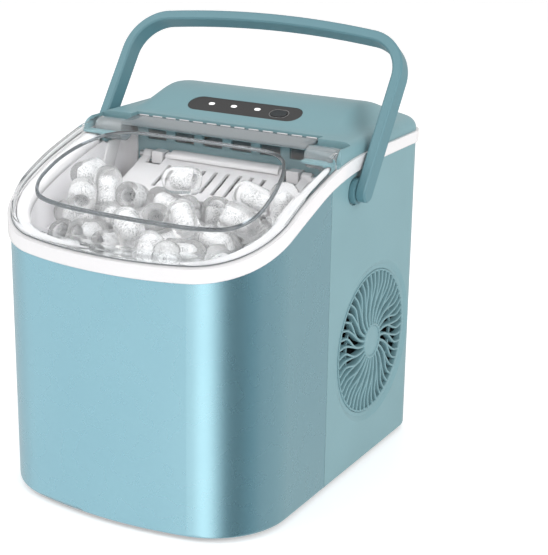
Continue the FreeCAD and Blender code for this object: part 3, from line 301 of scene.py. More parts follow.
def slot_materials():
    """One finished material for each material slot of the record."""
    teal = (0.200, 0.350, 0.385)
    return {
        "teal_metal": teal_metal(),
        "teal_plastic": moulded("teal_plastic_grain", teal, 0.42, 0.0009, 0.000015, edge=0.0008),
        "white_plastic": moulded("white_gloss", (0.80, 0.79, 0.80), 0.16, 0.004, 0.000012, 0.01, 0.0010,
                                 Coat_Weight=0.4, Coat_Roughness=0.05),
        "tub_plastic": moulded("tub_satin", (0.84, 0.83, 0.845), 0.36, 0.0015, 0.00001, 0.02, 0.0008),
        "foam": foam(),
        "pan_metal": moulded("pan_coating", (0.055, 0.062, 0.066), 0.42, 0.0016, 0.00002, 0.08, Metallic=0.5),
        "rubber": moulded("rubber_matte", (0.020, 0.020, 0.021), 0.68, 0.0007, 0.00003, 0.15),
        "steel": metal("steel_brushed", (0.60, 0.60, 0.61), 0.30, (0.15, 1.0, 1.0)),
        "clear": clear_plastic("clear_plastic", (0.97, 0.975, 0.98), 1.18, 1.0),
        "panel": moulded("panel_smoked", (0.033, 0.031, 0.031), 0.46, 0.0012, 0.000006, 0.06, 0.0003),
        "lens": moulded("lens_diffuser", (0.93, 0.93, 0.92), 0.20, 0.0008, 0.00001, 0.02, 0.0005,
                        Emission_Color=(1.0, 1.0, 1.0, 1.0), Emission_Strength=0.35),
        "button": moulded("button_satin", (0.032, 0.033, 0.035), 0.26, 0.0010, 0.000006, 0.08, 0.0006),
        "board": circuit_green(),
        "black_plastic": moulded("black_plastic_grain", (0.018, 0.019, 0.020), 0.48, 0.0010, 0.00002, 0.12),
        "compressor_paint": moulded("compressor_enamel", (0.012, 0.012, 0.013), 0.22, 0.003, 0.00004, 0.2),
        "aluminium": metal("aluminium_mill", (0.77, 0.78, 0.79), 0.34, (1.0, 1.0, 0.2)),
        "copper": metal("copper_tube", (0.72, 0.40, 0.26), 0.24),
        "chrome": metal("bright_plating", (0.80, 0.80, 0.81), 0.10),
        "silicone": moulded("silicone_milky", (0.78, 0.79, 0.79), 0.45, 0.002, 0.00002, 0.03,
                            Transmission_Weight=0.4),
        "ice": ice_clear(),
    }


# ---------------------------------------------------------------- mesh helpers
def add_piece(name, points, faces, material, body, replaced=(), sharp=35.0):
    """Makes a piece from points in mm and rides it on its CAD body."""
    mesh = bpy.data.meshes.new(name)
    mesh.from_pydata([Vector(p) * MM for p in points], [], faces)
    shape = bmesh.new()
    shape.from_mesh(mesh)
    bmesh.ops.remove_doubles(shape, verts=shape.verts, dist=0.01 * MM)
    bmesh.ops.recalc_face_normals(shape, faces=shape.faces)
    shape.to_mesh(mesh)
    shape.free()
    mesh.shade_smooth()
    mesh.set_sharp_from_angle(angle=math.radians(sharp))
    mesh.materials.append(material)
    piece = bpy.data.objects.new(name, mesh)
    SCENE.collection.objects.link(piece)
    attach(piece, body)
    if replaced:
        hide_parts(*replaced)
    return piece


def join_parts(parts):
    """Puts several (points, faces) lists into one."""
    points = []
    faces = []
    for part_points, part_faces in parts:
        start = len(points)
        points += [Vector(p) for p in part_points]
        faces += [tuple(start + i for i in face) for face in part_faces]
    return points, faces


def grid_faces(grid):
    """Quads over a grid of points, skipping places that hold None."""
    points = []
    index = {}
    for i, row in enumerate(grid):
        for j, point in enumerate(row):
            if point is not None:
                index[i, j] = len(points)
                points.append(point)
    faces = []
    for i, j in index:
        corners = [(i, j), (i + 1, j), (i + 1, j + 1), (i, j + 1)]
        if all(c in index for c in corners):
            faces.append(tuple(index[c] for c in corners))
    return points, faces


def lathe(profile, steps=48):
    """Solid of revolution about X: profile is (x, radius) pairs from end to end."""
    rows = []
    for i in range(steps + 1):
        a = 2 * math.pi * i / steps
        rows.append([Vector((x, r * math.cos(a), r * math.sin(a))) for x, r in profile])
    return grid_faces(rows)


def loop_sweep(loops):
    """Skin over closed cross-sections, each a list of points, with flat caps."""
    points, faces = grid_faces([loop + loop[:1] for loop in loops])
    width = len(loops[0]) + 1
    last = (len(loops) - 1) * width
    faces.append(tuple(range(width - 1)))
    faces.append(tuple(reversed(range(last, last + width - 1))))
    return points, faces


def thicken(piece, thickness):
    """Gives a sheet its thickness, on the side away from its normals."""
    wall = piece.modifiers.new("wall", "SOLIDIFY")
    wall.thickness = thickness * MM
    wall.offset = -1.0
    wall.use_even_offset = True


def arc(start, end, steps):
    return [math.radians(start + (end - start) * i / steps) for i in range(steps + 1)]


def mirrored(shape_points):
    return [Vector((-p[0], p[1], p[2])) for p in shape_points]


# ---------------------------------------------------------------- shared curves
def smooth_line(line):
    """Dense y and z arrays along the smooth curve through the points, level at both ends."""
    p = np.array(line, float)
    step = np.linalg.norm(np.diff(p, axis=0), axis=1)
    count = len(p)
    left = np.zeros((count, count))
    right = np.zeros((count, 2))
    left[0, 0] = left[-1, -1] = 1
    right[0] = right[-1] = (1, 0)
    for i in range(1, count - 1):
        before, after = step[i - 1], step[i]
        left[i, i - 1:i + 2] = after, 2 * (before + after), before
        right[i] = 3 * (after / before * (p[i] - p[i - 1]) + before / after * (p[i + 1] - p[i]))
    slope = np.linalg.solve(left, right)
    dense = []
    for i in range(count - 1):
        for t in np.linspace(0, 1, 40, endpoint=False):
            run = step[i]
            dense.append((2 * t ** 3 - 3 * t ** 2 + 1) * p[i] + (t ** 3 - 2 * t ** 2 + t) * run * slope[i]
                         + (3 * t ** 2 - 2 * t ** 3) * p[i + 1] + (t ** 3 - t ** 2) * run * slope[i + 1])
    dense.append(p[-1])
    dense = np.array(dense)
    return dense[:, 0], dense[:, 1]


BAND_TOP_LINE = smooth_line(BAND_HIGH)


def band_top(y):
    """Height of the trim band's upper edge at y."""
    return float(np.interp(y, *BAND_TOP_LINE))


def plan_path(half, front, corner, arch, rear, side_steps=30, corner_steps=18, arch_steps=16):
    """Plan outline from the right rear round the front to the left rear.

    Returns (x, y, outward x, outward y) for each point.
    """
    arch_y = front + arch
    corner_x = half - corner
    corner_y = arch_y - math.sqrt((arch - corner) ** 2 - corner_x ** 2)
    joint = math.atan2(corner_y - arch_y, corner_x)
    right = []
    for i in range(side_steps):
        right.append((half, rear + (corner_y - rear) * i / side_steps, 1.0, 0.0))
    for i in range(corner_steps):
        a = joint * i / corner_steps
        nx = math.cos(a)
        ny = math.sin(a)
        right.append((corner_x + corner * nx, corner_y + corner * ny, nx, ny))
    for i in range(arch_steps + 1):
        a = joint + (-math.pi / 2 - joint) * i / arch_steps
        right.append((arch * math.cos(a), arch_y + arch * math.sin(a), math.cos(a), math.sin(a)))
    left = [(-x, y, -nx, ny) for x, y, nx, ny in reversed(right[:-1])]
    return right + left


def body_path(inset, rear):
    """The body's plan outline, moved inwards by inset."""
    return plan_path(BODY_HALF - inset, BODY_FRONT + inset, FRONT_CORNER_R - inset,
                     FRONT_ARCH_R - inset, rear)


def closed_curve(outline, per_point):
    """Smooth closed curve through the outline's points (Catmull-Rom)."""
    count = len(outline)
    curve = []
    for i in range(count):
        p0, p1, p2, p3 = (Vector((*outline[(i + k) % count], 0)) for k in (-1, 0, 1, 2))
        for k in range(per_point):
            t = k / per_point
            curve.append(0.5 * (2 * p1 + (p2 - p0) * t + (2 * p0 - 5 * p1 + 4 * p2 - p3) * t ** 2
                                + (3 * p1 - p0 - 3 * p2 + p3) * t ** 3))
    return curve


# ---------------------------------------------------------------- lid
def lid_columns():
    """Cross-section of the lid from the skirt's foot to the middle: (inset, height above the band)."""
    columns = [(0.0, LID_SEAT_GAP), (0.0, LID_RISE - LID_EDGE_R)]
    for a in arc(18, 90, 4):
        columns.append((LID_EDGE_R * (1 - math.cos(a)), LID_RISE - LID_EDGE_R + LID_EDGE_R * math.sin(a)))
    strip_edge = BODY_HALF - LID_INSET - STRIP_HALF
    return columns + [(inset, LID_RISE) for inset in (7.0, 11.0, 16.0, 22.0, strip_edge, 40.0)]


def lid_cover(materials):
    """The clear cover: skirt, rounded rim, top and the flat strip at the rear."""
    columns = lid_columns()
    half = BODY_HALF - LID_INSET
    shares = [0.85, 0.7, 0.55, 0.4, 0.25, 0.1, 0.0]
    rear_rows = [STRIP_REAR, 20.0, 16.0, 12.0, LID_REAR, 4.0, 0.0, -4.5]

    def rear_row(y, side):
        limit = STRIP_HALF if y > LID_REAR else LID_SHOULDER
        row = []
        for inset, lift in columns:
            inside = half - inset <= limit + 0.01
            row.append(Vector((side * (half - inset), y, band_top(y) + lift)) if inside else None)
        for share in shares:
            row.append(Vector((side * (half - columns[-1][0]) * share, y, band_top(y) + LID_RISE)))
        return row

    rows = [rear_row(y, 1) for y in rear_rows]
    for x, y, nx, ny in body_path(LID_INSET, LID_SIDE_REAR):
        row = []
        for inset, lift in columns:
            place = y - ny * inset
            row.append(Vector((x - nx * inset, place, band_top(place) + lift)))
        inner = row[-1]
        for share in shares:
            row.append(Vector((inner.x * share, inner.y, inner.z)))
        rows.append(row)
    rows += [rear_row(y, -1) for y in reversed(rear_rows)]
    points, faces = grid_faces(rows)
    piece = add_piece("lid_cover", points, faces, materials["clear"], "lid", ("lid",), 50.0)
    piece.data.materials.append(smoked_plastic("etched_plastic", (0.40, 0.44, 0.46), 0.45, 0.20))
    piece.data.materials.append(clear_plastic("rim_plastic", (0.88, 0.90, 0.91), 1.20, 0.9))
    for face in piece.data.polygons:
        if face.center.y > 0.5 * MM and abs(face.center.x) < STRIP_HALF * MM:
            face.material_index = 1
        elif face.center.z < (band_top(face.center.y / MM) + LID_RISE - 0.4) * MM:
            face.material_index = 2
    thicken(piece, LID_SHEET)
    return piece


def lid_seam_shadow():
    """Thin dark bead along the foot of the lid's skirt: painted shadow, a dark line standing in for the shade
    of the seam between the lid and the band.
    """
    bead = 0.45
    lift = LID_SEAT_GAP + bead
    rows = []
    for x, y, nx, ny in body_path(LID_INSET - 0.1, LID_SIDE_REAR):
        row = []
        for a in arc(0, 360, 6):
            inwards = bead * math.cos(a)
            row.append(Vector((x - nx * inwards, y - ny * inwards, band_top(y) + lift + bead * math.sin(a))))
        rows.append(row)
    points, faces = grid_faces(rows)
    # The bead's dark grey is painted shadow for the seam's shade.
    edge = smoked_plastic("lid_seam_shadow_plastic", (0.20, 0.22, 0.23), 0.2, 0.20)
    return add_piece("lid_skirt_shadow_bead", points, faces, edge, "lid")


def window_rib():
    """Raised rib round the lid's window, a solid bead of clear plastic, tinted dark grey as painted shade for
    the dark line that its refraction shows.
    """
    mirror_half = [(-x, y) for x, y in reversed(WINDOW_OUTLINE[1:-1])]
    curve = closed_curve(WINDOW_OUTLINE + mirror_half, 12)
    bead = 1.3
    foot = 0.03
    section = [(bead * math.cos(a), 0.7 + bead * math.sin(a)) for a in arc(0, 180, 8)]
    section += [(-bead, foot), (bead, foot)]
    rows = []
    count = len(curve)
    for i in range(count + 1):
        here = curve[i % count]
        along = (curve[(i + 1) % count] - curve[(i - 1) % count]).normalized()
        out = Vector((along.y, -along.x, 0))
        row = []
        for across, up in section + section[:1]:
            spot = here + out * across
            row.append(Vector((spot.x, spot.y, band_top(spot.y) + LID_RISE + up)))
        rows.append(row)
    points, faces = grid_faces(rows)
    # The rib's dark grey tint is painted shade, standing in for the darkness its refraction shows.
    bead = clear_plastic("rib_plastic_painted_dark", (0.27, 0.30, 0.32), 1.45, 0.6)
    return add_piece("lid_window_rib", points, faces, bead, "lid", sharp=60.0)


def barrel_profile():
    """Hinge barrel along X: flat inner end with a bore, round outer end."""
    nose = 6.0
    profile = [(0.0, 0.0), (0.0, BARREL_R - 1.0)]
    for a in arc(90, 0, 3):
        profile.append((1.0 - math.sin(a), BARREL_R - 1.0 + math.cos(a)))
    length = BARREL_OUT - BARREL_IN
    for a in arc(90, 20, 6):
        profile.append((length - nose + nose * math.cos(a), BARREL_R - nose + nose * math.sin(a)))
    return profile + [(length, PIN_R), (length - 12.0, PIN_R), (length - 12.0, 0.0)]


def lid_barrels():
    """Two clear barrels that the lid turns on."""
    points, faces = lathe(barrel_profile())
    place = Vector((BARREL_IN, LID_AXIS.y, LID_AXIS.z))
    right = [p + place for p in points]
    all_points, all_faces = join_parts([(right, faces), (mirrored(right), faces)])
    smoke = smoked_plastic("barrel_plastic", (0.50, 0.56, 0.58), 0.65, 0.12)
    return add_piece("lid_barrels", all_points, all_faces, smoke, "lid", sharp=50.0)


def rounded_bar(centre, along, across, up, size, rounding=0.3):
    """Bar with rounded long edges: size is (length, width, height) in mm."""
    length, width, height = size
    section = []
    for corner, (sx, sy) in enumerate([(1, 1), (-1, 1), (-1, -1), (1, -1)]):
        for a in arc(90 * corner, 90 * corner + 90, 3):
            section.append((sx * (width / 2 - rounding) + rounding * math.cos(a),
                            sy * (height / 2 - rounding) + rounding * math.sin(a)))
    loops = []
    for end, shrink in ((-1, 0.55), (-1, 1.0), (1, 1.0), (1, 0.55)):
        reach = end * (length / 2 - (rounding if shrink == 1.0 else 0.0))
        loops.append([centre + along * reach + across * (u * shrink) + up * (v * shrink) for u, v in section])
    return loop_sweep(loops)


def lid_teeth(materials):
    """Row of short ribs on the strip's rear edge."""
    count = 13
    size = (8.6, 1.1, 0.8)
    axes = (Vector((1, 0, 0)), Vector((0, 1, 0)), Vector((0, 0, 1)))
    pitch = 2 * STRIP_HALF / count
    top = band_top(STRIP_REAR) + LID_RISE
    teeth = []
    for i in range(count):
        x = -STRIP_HALF + pitch * (i + 0.5)
        centre = Vector((x, STRIP_REAR - 0.9, top + 0.15))
        teeth.append(rounded_bar(centre, *axes, size))
    points, faces = join_parts(teeth)
    return add_piece("lid_strip_teeth", points, faces, materials["white_plastic"], "lid")


def lid_grips(materials):
    """Ribbed finger grips low on both sides of the lid's skirt."""
    start, pitch, count = -82.0, 1.6, 16
    size = (3.0, 0.8, 0.9)
    parts = []
    for side in (-1, 1):
        for i in range(count):
            y = start + pitch * i
            slope = (band_top(y + 1) - band_top(y - 1)) / 2
            along = Vector((0, 1, slope)).normalized()
            up = Vector((0, -slope, 1)).normalized()
            centre = Vector((side * (BODY_HALF - LID_INSET + 0.2), y, band_top(y) + 2.2))
            parts.append(rounded_bar(centre, up, along, Vector((side, 0, 0)), size))
    points, faces = join_parts(parts)
    return add_piece("lid_side_grips", points, faces, materials["clear"], "lid")


# ---------------------------------------------------------------- control panel
def button_ring():
    """Thin light ring on the panel round the button."""
    half_long, half_wide, line = 7.9, 5.5, 0.20
    low, high = (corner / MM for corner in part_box("power_button"))
    slope = math.radians(PANEL_SLOPE)
    along = Vector((0, math.cos(slope), math.sin(slope)))
    up = Vector((0, -math.sin(slope), math.cos(slope)))
    across = Vector((1, 0, 0))
    middle = Vector(((low.x + high.x) / 2, 0, 0)) + PANEL_MIDDLE - along * 0.8
    straight = half_long - half_wide
    rows = []
    for a in arc(0, 360, 64):
        side = across * math.cos(a) + along * math.sin(a)
        shift = straight if math.cos(a) >= 0 else -straight
        spot = middle + across * shift + side * half_wide
        row = []
        for b in arc(0, 360, 6):
            row.append(spot + side * (line * math.cos(b)) + up * (0.6 * line * math.sin(b) - 0.1))
        rows.append(row)
    points, faces = grid_faces(rows)
    print_ink = moulded("ring_ink", (0.34, 0.34, 0.34), 0.40, 0.0006, 0.000005)
    return add_piece("button_ring", points, faces, print_ink, "housing")


# ---------------------------------------------------------------- frame round the opening
def mouth_frame(materials):
    """White frame from the trim band into the ice opening, rounded over at its inner edge."""
    turn = 4.5
    outer = body_path(BAND_WIDTH - BAND_PROUD + 0.7, FRAME_REAR)
    inner = plan_path(MOUTH_HALF, MOUTH_FRONT, MOUTH_CORNER_R, MOUTH_ARCH_R, FRAME_REAR)
    rows = []
    for (ox, oy, _, _), (ix, iy, nx, ny) in zip(outer, inner):
        start = Vector((ox, oy, 0))
        end = Vector((ix + nx * turn, iy + ny * turn, 0))
        row = []
        for share in (0.0, 0.35, 0.7):
            spot = start.lerp(end, share)
            row.append(Vector((spot.x, spot.y, band_top(spot.y) - 1.0 - 0.3 * share)))
        for a in arc(90, 0, 6):
            spot = Vector((ix, iy, 0)) + Vector((nx, ny, 0)) * (turn - turn * math.cos(a))
            row.append(Vector((spot.x, spot.y, band_top(spot.y) - 1.4 - turn + turn * math.sin(a))))
        row.append(Vector((ix, iy, band_top(iy) - 9.2)))
        rows.append(row)
    points, faces = grid_faces(rows)
    piece = add_piece("mouth_frame", points, faces, materials["white_plastic"], "housing",
                      ("inner_frame",), 50.0)
    if piece.data.polygons[0].normal.z < 0:
        piece.data.flip_normals()
    thicken(piece, 1.6)
    return piece


def tub_strip(materials):
    """Curved raised band on the tub's left wall."""
    low, rise = 150.0, 90.0
    start, sweep = -12.0, 28.0
    flank = [(8.5, -0.2), (8.2, 0.7), (7.4, 1.0)]
    section = [(-across, proud) for across, proud in flank] + [(0.0, 1.1)] + flank[::-1]
    steps = 20
    rows = []
    for i in range(steps + 1):
        share = i / steps
        z = low + rise * share
        middle = start + sweep * share ** 1.8
        rows.append([Vector((-MOUTH_HALF + proud, middle + across, z)) for across, proud in section])
    points, faces = loop_sweep(rows)
    return add_piece("tub_wall_band", points, faces, materials["white_plastic"], "housing")


# ---------------------------------------------------------------- fan grille
def smooth_step(t):
    t = min(max(t, 0.0), 1.0)
    return t * t * (3 - 2 * t)


def fin_point(turn, split, along):
    """Point of a fin's middle line: along is 0 at the hub and 1 at the rim."""
    radius = HUB_R + (GRILLE_R - HUB_R) * along
    swirl = -FIN_SWIRL * smooth_step(along / 0.75) + FIN_SWIRL / 7 * smooth_step((along - 0.75) * 4)
    angle = turn + swirl + split * smooth_step((along - 0.27) / 0.46)
    return Vector((0, radius * math.cos(angle), radius * math.sin(angle)))


def fin(turn, split, start, end, width, steps):
    """Upright fin with a rounded crest."""
    face = GRILLE_FACE - 0.5
    loops = []
    for i in range(steps + 1):
        along = start + (end - start) * i / steps
        here = fin_point(turn, split, along)
        ahead = (fin_point(turn, split, along + 0.01) - fin_point(turn, split, along - 0.01)).normalized()
        across = Vector((0, -ahead.z, ahead.y))
        middle = Vector((0, FAN_Y, FAN_Z)) + here
        crest = width / 2
        loop = [middle + across * crest + Vector((GRILLE_BACK, 0, 0))]
        for a in arc(0, 180, 6):
            height = Vector((face - crest + crest * math.sin(a), 0, 0))
            loop.append(middle + across * (crest * math.cos(a)) + height)
        loop.append(middle - across * crest + Vector((GRILLE_BACK, 0, 0)))
        loops.append(loop)
    return loop_sweep(loops)


def ring(inner, outer, back, face, rounding):
    """Ring about the fan's axis with rounded front edges."""
    profile = [(back, inner)]
    for a in arc(180, 90, 4):
        profile.append((face - rounding + rounding * math.sin(a), inner + rounding + rounding * math.cos(a)))
    for a in arc(90, 0, 4):
        profile.append((face - rounding + rounding * math.sin(a), outer - rounding + rounding * math.cos(a)))
    profile += [(back, outer), (back, inner)]
    points, faces = lathe(profile, 120)
    return [p + Vector((0, FAN_Y, FAN_Z)) for p in points], faces


def hub_part():
    """The grille's hub: a shallow dish inside a raised rim."""
    rim = 0.9
    profile = [(GRILLE_BACK, 0.0), (GRILLE_BACK, HUB_R)]
    for a in arc(0, 180, 8):
        profile.append((GRILLE_FACE - rim + rim * math.sin(a), HUB_R - rim + rim * math.cos(a)))
    profile += [(GRILLE_FACE - 1.1, HUB_R - 2.4), (GRILLE_FACE - 0.9, HUB_R * 0.5), (GRILLE_FACE - 0.8, 0.0)]
    points, faces = lathe(profile, 72)
    return [p + Vector((0, FAN_Y, FAN_Z)) for p in points], faces


def grille(materials):
    """Round side grille: hub, forked fins, a deeper ring and the rim."""
    step = 2 * math.pi / FIN_TRUNKS
    parts = [hub_part(), ring(GRILLE_R - 1.6, GRILLE_R, GRILLE_BACK, GRILLE_FACE - 1.0, 0.6)]
    ring_r = 0.68 * GRILLE_R
    parts.append(ring(ring_r - 0.9, ring_r + 0.9, GRILLE_BACK + 0.1, GRILLE_BACK + 2.4, 0.5))
    for i in range(FIN_TRUNKS):
        parts.append(fin(i * step, 0.0, -0.05, 0.36, 2.1, 6))
        for side in (-1, 1):
            parts.append(fin(i * step, side * step / 4, 0.28, 0.985, 1.65, 12))
    points, faces = join_parts(parts)
    return add_piece("side_grille", points, faces, materials["teal_plastic"], "housing",
                     ("fan_grille",), 60.0)


# ---------------------------------------------------------------- ice
def bullet_profile():
    """Cup-shaped bullet along X: open hollow end at the start, round end at the end."""
    lip = 2.0
    profile = [(ICE_HOLE_DEPTH, 0.0), (ICE_HOLE_DEPTH - 0.8, ICE_HOLE_R * 0.6),
               (ICE_HOLE_DEPTH - 3.0, ICE_HOLE_R * 0.95)]
    profile += [(ICE_HOLE_DEPTH * share, ICE_HOLE_R) for share in (0.6, 0.35, 0.12)]
    for a in arc(180, 90, 3):
        profile.append((lip - lip * math.sin(a), ICE_HOLE_R + lip + lip * math.cos(a)))
    for a in arc(90, 0, 3):
        profile.append((lip - lip * math.sin(a), ICE_R - lip + lip * math.cos(a)))
    profile += [(ICE_LENGTH * share, ICE_R) for share in (0.25, 0.45)]
    for a in arc(90, 0, 8):
        profile.append((ICE_LENGTH - ICE_R + ICE_R * math.cos(a), ICE_R * math.sin(a)))
    return profile


def bullet_shape(draw):
    """One bullet centred on the origin, uneven as frozen water is; also marks the hole's faces."""
    profile = bullet_profile()
    points, faces = lathe(profile, 28)
    seed = Vector((draw.uniform(0, 50), draw.uniform(0, 50), draw.uniform(0, 50)))
    length = draw.uniform(0.92, 1.04)
    girth = draw.uniform(0.93, 1.03)
    moved = []
    for p in points:
        spot = Vector(((p.x - ICE_LENGTH / 2) * length, p.y * girth, p.z * girth))
        swell = 0.05 * noise.noise(spot * 0.09 + seed)
        dimple = 0.012 * noise.noise(spot * 0.45 + seed)
        moved.append(spot * (1 + swell + dimple))
    width = len(profile)
    hole = [all(i % width <= ICE_HOLE_ROWS for i in face) for face in faces]
    return moved, faces, hole


def sim_walls(scale):
    """Inside of the basket and of the opening above it, as one open shell."""
    low, high = BASKET
    basket = (BASKET_HALF - 2.4, low.y + 2.4, high.y - 2.4, 27.0)
    opening = (MOUTH_HALF - 3, low.y - 4, high.y + 4, 38.0)
    funnel_top = 700.0
    levels = [(low.z + BASKET_WALL, basket), (high.z, basket), (high.z + 6, opening), (funnel_top, opening)]
    rings = []
    for z, (half, front, rear, corner) in levels:
        outline = []
        for a in arc(0, -90, 6):
            outline.append((half - corner + corner * math.cos(a), front + corner + corner * math.sin(a)))
        outline += [(-x, y) for x, y in reversed(outline)]
        outline += [(-half, rear), (half, rear)]
        rings.append([Vector((x, y, z)) * scale for x, y in outline])
    points, faces = grid_faces([r + r[:1] for r in rings])
    faces.append(tuple(range(len(rings[0]))))
    mesh = bpy.data.meshes.new("sim_walls")
    mesh.from_pydata(points, [], faces)
    return bpy.data.objects.new("sim_walls", mesh)


def add_body(obj, kind, shape, **settings):
    """Makes obj part of the simulation; settings are those of its rigid body."""
    SCENE.collection.objects.link(obj)
    bpy.context.view_layer.objects.active = obj
    bpy.ops.rigidbody.object_add(type=kind)
    obj.rigid_body.collision_shape = shape
    obj.rigid_body.use_margin = True
    obj.rigid_body.collision_margin = 0.004
    for key, value in settings.items():
        setattr(obj.rigid_body, key, value)


def poured_ice(count, frames):
    """Where the bullets come to rest when they are poured into the basket.

    The machine is tipped a little backwards while they fall, so that the heap
    rises to the rear as the opening does.
    """
    scale = 0.03
    draw = random.Random(7)
    bpy.ops.rigidbody.world_add()
    world = SCENE.rigidbody_world
    world.substeps_per_frame = 12
    world.solver_iterations = 20
    world.point_cache.frame_end = frames
    lean = math.radians(9)
    pull = 25
    SCENE.gravity = (0, pull * math.sin(lean), -pull * math.cos(lean))
    walls = sim_walls(scale)
    add_body(walls, "PASSIVE", "MESH", friction=0.1, restitution=0.0)
    outline = []
    sides = 10
    for along_share, radius_share in ((0.0, 1.0), (0.65, 1.0), (0.88, 0.75), (1.0, 0.2)):
        x = ICE_LENGTH * along_share
        r = ICE_R * radius_share
        for k in range(sides):
            a = 2 * math.pi * k / sides
            outline.append(Vector((x - ICE_LENGTH / 2, r * math.cos(a), r * math.sin(a))) * scale * 0.99)
    hull = bpy.data.meshes.new("sim_bullet")
    hull.from_pydata(outline, [], [tuple(range(sides)), tuple(range(3 * sides, 4 * sides))])
    fallen = []
    low = BASKET[0]
    per_row, per_layer = 5, 10
    spacing_x, spacing_y, spacing_z = 34.0, 38.0, 36.0
    margin = 24
    for i in range(count):
        layer, place = divmod(i, per_layer)
        row, column = divmod(place, per_row)
        x = (column - per_row // 2) * spacing_x
        y = low.y + margin + row * spacing_y
        z = low.z + margin + layer * spacing_z
        obj = bpy.data.objects.new("sim_ice", hull)
        obj.location = Vector((x, y, z)) * scale
        obj.rotation_euler = Euler([draw.uniform(0, 2 * math.pi) for _ in range(3)])
        add_body(obj, "ACTIVE", "CONVEX_HULL", mass=1.0, friction=0.12, restitution=0.05,
                 linear_damping=0.08, angular_damping=0.15)
        fallen.append(obj)
    for step in range(1, frames + 1):
        SCENE.frame_set(step)
    places = []
    for obj in fallen:
        matrix = obj.matrix_world.copy()
        places.append((matrix.translation / scale, matrix.to_quaternion()))
    for obj in fallen + [walls]:
        bpy.data.objects.remove(obj)
    bpy.ops.rigidbody.world_remove()
    SCENE.frame_set(1)
    return places


def ice_load(materials):
    """The basket's load of bullet ice, a natural heap.

    It stays below the trim band's edge, so that the basket can lift under the lid.
    """
    draw = random.Random(3)
    variants = [bullet_shape(draw) for _ in range(6)]
    parts = []
    holes = []
    for place, turn in poured_ice(145, 200):
        reach = max(abs((turn @ Vector((ICE_LENGTH / 2, 0, 0))).y), ICE_R)
        clear_of_paddle = place.y + reach < -20.0 or place.z < BASKET[1].z - 12.0
        points, faces, hole = variants[len(parts) % len(variants)]
        points = [turn @ p + place for p in points]
        clear_of_lid = all(p.z < band_top(p.y) for p in points)
        if not (clear_of_lid and clear_of_paddle):
            continue
        parts.append((points, faces))
        holes += hole
    points, faces = join_parts(parts)
    mesh = bpy.data.meshes.new("ice_load")
    mesh.from_pydata([p * MM for p in points], [], faces)
    mesh.materials.append(materials["ice"])
    mesh.materials.append(ice_frost())
    mesh.polygons.foreach_set("material_index", [int(h) for h in holes])
    shape = bmesh.new()
    shape.from_mesh(mesh)
    bmesh.ops.remove_doubles(shape, verts=shape.verts, dist=0.01 * MM)
    bmesh.ops.recalc_face_normals(shape, faces=shape.faces)
    shape.to_mesh(mesh)
    shape.free()
    mesh.shade_smooth()
    piece = bpy.data.objects.new("ice_load", mesh)
    SCENE.collection.objects.link(piece)
    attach(piece, "ice_basket")
    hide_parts("ice_bullets")
    return piece


# ---------------------------------------------------------------- stage
# name, place and size in metres, power in watts
LAMPS = [("key", (-0.9, -1.1, 1.5), 0.9, 9.0),
         ("fill", (1.4, -0.5, 0.9), 0.8, 9.0),
         ("top", (0.1, 0.3, 1.8), 1.2, 4.0)]


def studio():
    """Pale floor and soft light."""
    bpy.ops.mesh.primitive_grid_add(x_subdivisions=8, y_subdivisions=8, size=6.0, location=(0, 0, 0))
    floor = bpy.context.object
    floor.name = "floor"
    look = Look("floor_paper")
    look.set(Base_Color=look.ramp(look.noise(0.4), [(0.3, (0.86, 0.86, 0.865)), (0.7, (0.88, 0.88, 0.885))]))
    look.set(Roughness=look.between(look.noise(0.01), 0.5, 0.6))
    look.set(Emission_Color=(1.0, 1.0, 1.0, 1.0), Emission_Strength=0.38)
    floor.data.materials.append(look.material)
    floor.visible_glossy = False
    for name, place, size, power in LAMPS:
        light = bpy.data.lights.new(name, "AREA")
        light.size = size
        light.energy = power
        lamp = bpy.data.objects.new(name, light)
        lamp.location = place
        aim = Vector((0, 0, 0.15)) - lamp.location
        lamp.rotation_euler = aim.to_track_quat("-Z", "Y").to_euler()
        SCENE.collection.objects.link(lamp)


# what shiny surfaces mirror: degrees round from +X towards +Y, the brightness there and its tint
WHITE_ZONE = (1.0, 1.0, 1.0)
LAMP_ZONE = (1.0, 0.93, 0.90)
DARK_ZONE = (0.75, 1.05, 1.15)
GREY_ZONE = (1.05, 1.0, 0.96)
SKY_ZONES = [(-180, 0.80, WHITE_ZONE), (-160, 0.98, WHITE_ZONE), (-100, 1.0, WHITE_ZONE),
             (-88, 1.35, LAMP_ZONE), (-75, 2.1, LAMP_ZONE), (-65, 1.8, LAMP_ZONE), (-54, 0.80, WHITE_ZONE),
             (-42, 0.16, DARK_ZONE), (-27, 0.12, DARK_ZONE), (-8, 0.27, DARK_ZONE), (12, 0.44, WHITE_ZONE),
             (60, 0.55, GREY_ZONE), (90, 0.72, GREY_ZONE), (150, 0.72, WHITE_ZONE), (180, 0.80, WHITE_ZONE)]


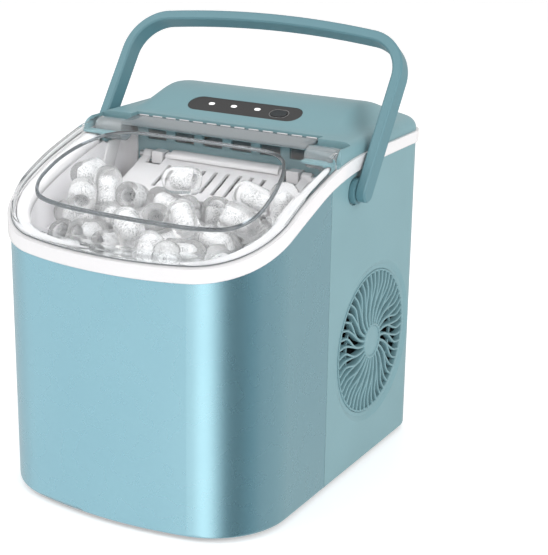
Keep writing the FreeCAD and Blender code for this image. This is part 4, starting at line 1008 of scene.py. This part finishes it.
def sky():
    """White surroundings; the satin front mirrors a bright and a dark zone round the right corner."""
    world = bpy.data.worlds.new("studio_sky")
    SCENE.world = world
    world.use_nodes = True
    tree = world.node_tree
    link = tree.links.new

    def node(kind, **props):
        made = tree.nodes.new("ShaderNode" + kind)
        for key, value in props.items():
            setattr(made, key, value)
        return made

    def map_range(value, low, high, to_low=0.0, to_high=1.0):
        made = node("MapRange")
        for key, number in (("From Min", low), ("From Max", high), ("To Min", to_low), ("To Max", to_high)):
            made.inputs[key].default_value = number
        link(value, made.inputs["Value"])
        return made.outputs["Result"]

    def mix(factor, first, second):
        made = node("Mix", data_type="RGBA")
        link(factor, made.inputs[0])
        for socket, value in ((made.inputs[6], first), (made.inputs[7], second)):
            if isinstance(value, tuple):
                socket.default_value = value
            else:
                link(value, socket)
        return made.outputs[2]

    parts = node("SeparateXYZ")
    link(node("TexCoord").outputs["Generated"], parts.inputs["Vector"])
    azimuth = node("Math", operation="ARCTAN2")
    link(parts.outputs["Y"], azimuth.inputs[0])
    link(parts.outputs["X"], azimuth.inputs[1])
    zones = node("ValToRGB")
    zones.color_ramp.interpolation = "EASE"
    elements = zones.color_ramp.elements
    while len(elements) < len(SKY_ZONES):
        elements.new(0.5)
    for element, (degrees, level, tint) in zip(elements, SKY_ZONES):
        element.position = (degrees + 180) / 360
        element.color = (*(level * channel for channel in tint), 1.0)
    link(map_range(azimuth.outputs["Value"], -math.pi, math.pi), zones.inputs["Fac"])
    shade = map_range(parts.outputs["Z"], 0.1, 1.0, 0.95, 0.50)
    rays = node("LightPath")
    mirrored_or_lit = mix(rays.outputs["Is Glossy Ray"], shade, zones.outputs["Color"])
    white = (1.0, 1.0, 1.0, 1.0)
    colour = mix(rays.outputs["Is Camera Ray"], mirrored_or_lit, white)
    link(colour, tree.nodes["Background"].inputs["Color"])


def camera():
    """Camera in front, to the right and above, looking down on the machine."""
    yaw = math.radians(29.17)
    pitch = math.radians(17.89)
    roll = math.radians(0.94)
    ahead = Vector((-math.sin(yaw) * math.cos(pitch), math.cos(yaw) * math.cos(pitch), -math.sin(pitch)))
    right = Vector((math.cos(yaw), math.sin(yaw), 0))
    up = right.cross(ahead)
    right_rolled = right * math.cos(roll) + up * math.sin(roll)
    up_rolled = up * math.cos(roll) - right * math.sin(roll)
    data = bpy.data.cameras.new("camera")
    data.lens = 95.49
    data.sensor_width = 36.0
    eye = bpy.data.objects.new("camera", data)
    eye.matrix_world = Matrix((right_rolled, up_rolled, -ahead)).transposed().to_4x4()
    eye.location = (0.56687, -0.91328, 0.49449)
    SCENE.collection.objects.link(eye)
    SCENE.camera = eye


def dress_cad(materials):
    """Gives every CAD node the finished material of its slot; the handle's teal is a shade deeper."""
    handle_teal = moulded("handle_teal", (0.108, 0.240, 0.280), 0.45, 0.0009, 0.000015, edge=0.0008)
    for subpart in frame["record"]["subparts"]:
        node = subpart["node"]
        mesh = frame["nodes"][node].data
        finish = handle_teal if node == "handle" else materials[subpart["material_slot"]]
        for i in range(len(mesh.materials)):
            mesh.materials[i] = finish


def main():
    materials = slot_materials()
    dress_cad(materials)
    lid_cover(materials)
    lid_seam_shadow()
    window_rib()
    lid_barrels()
    lid_teeth(materials)
    lid_grips(materials)
    button_ring()
    mouth_frame(materials)
    tub_strip(materials)
    grille(materials)
    ice_load(materials)
    studio()
    sky()
    camera()
    SCENE.view_settings.view_transform = "Standard"


main()
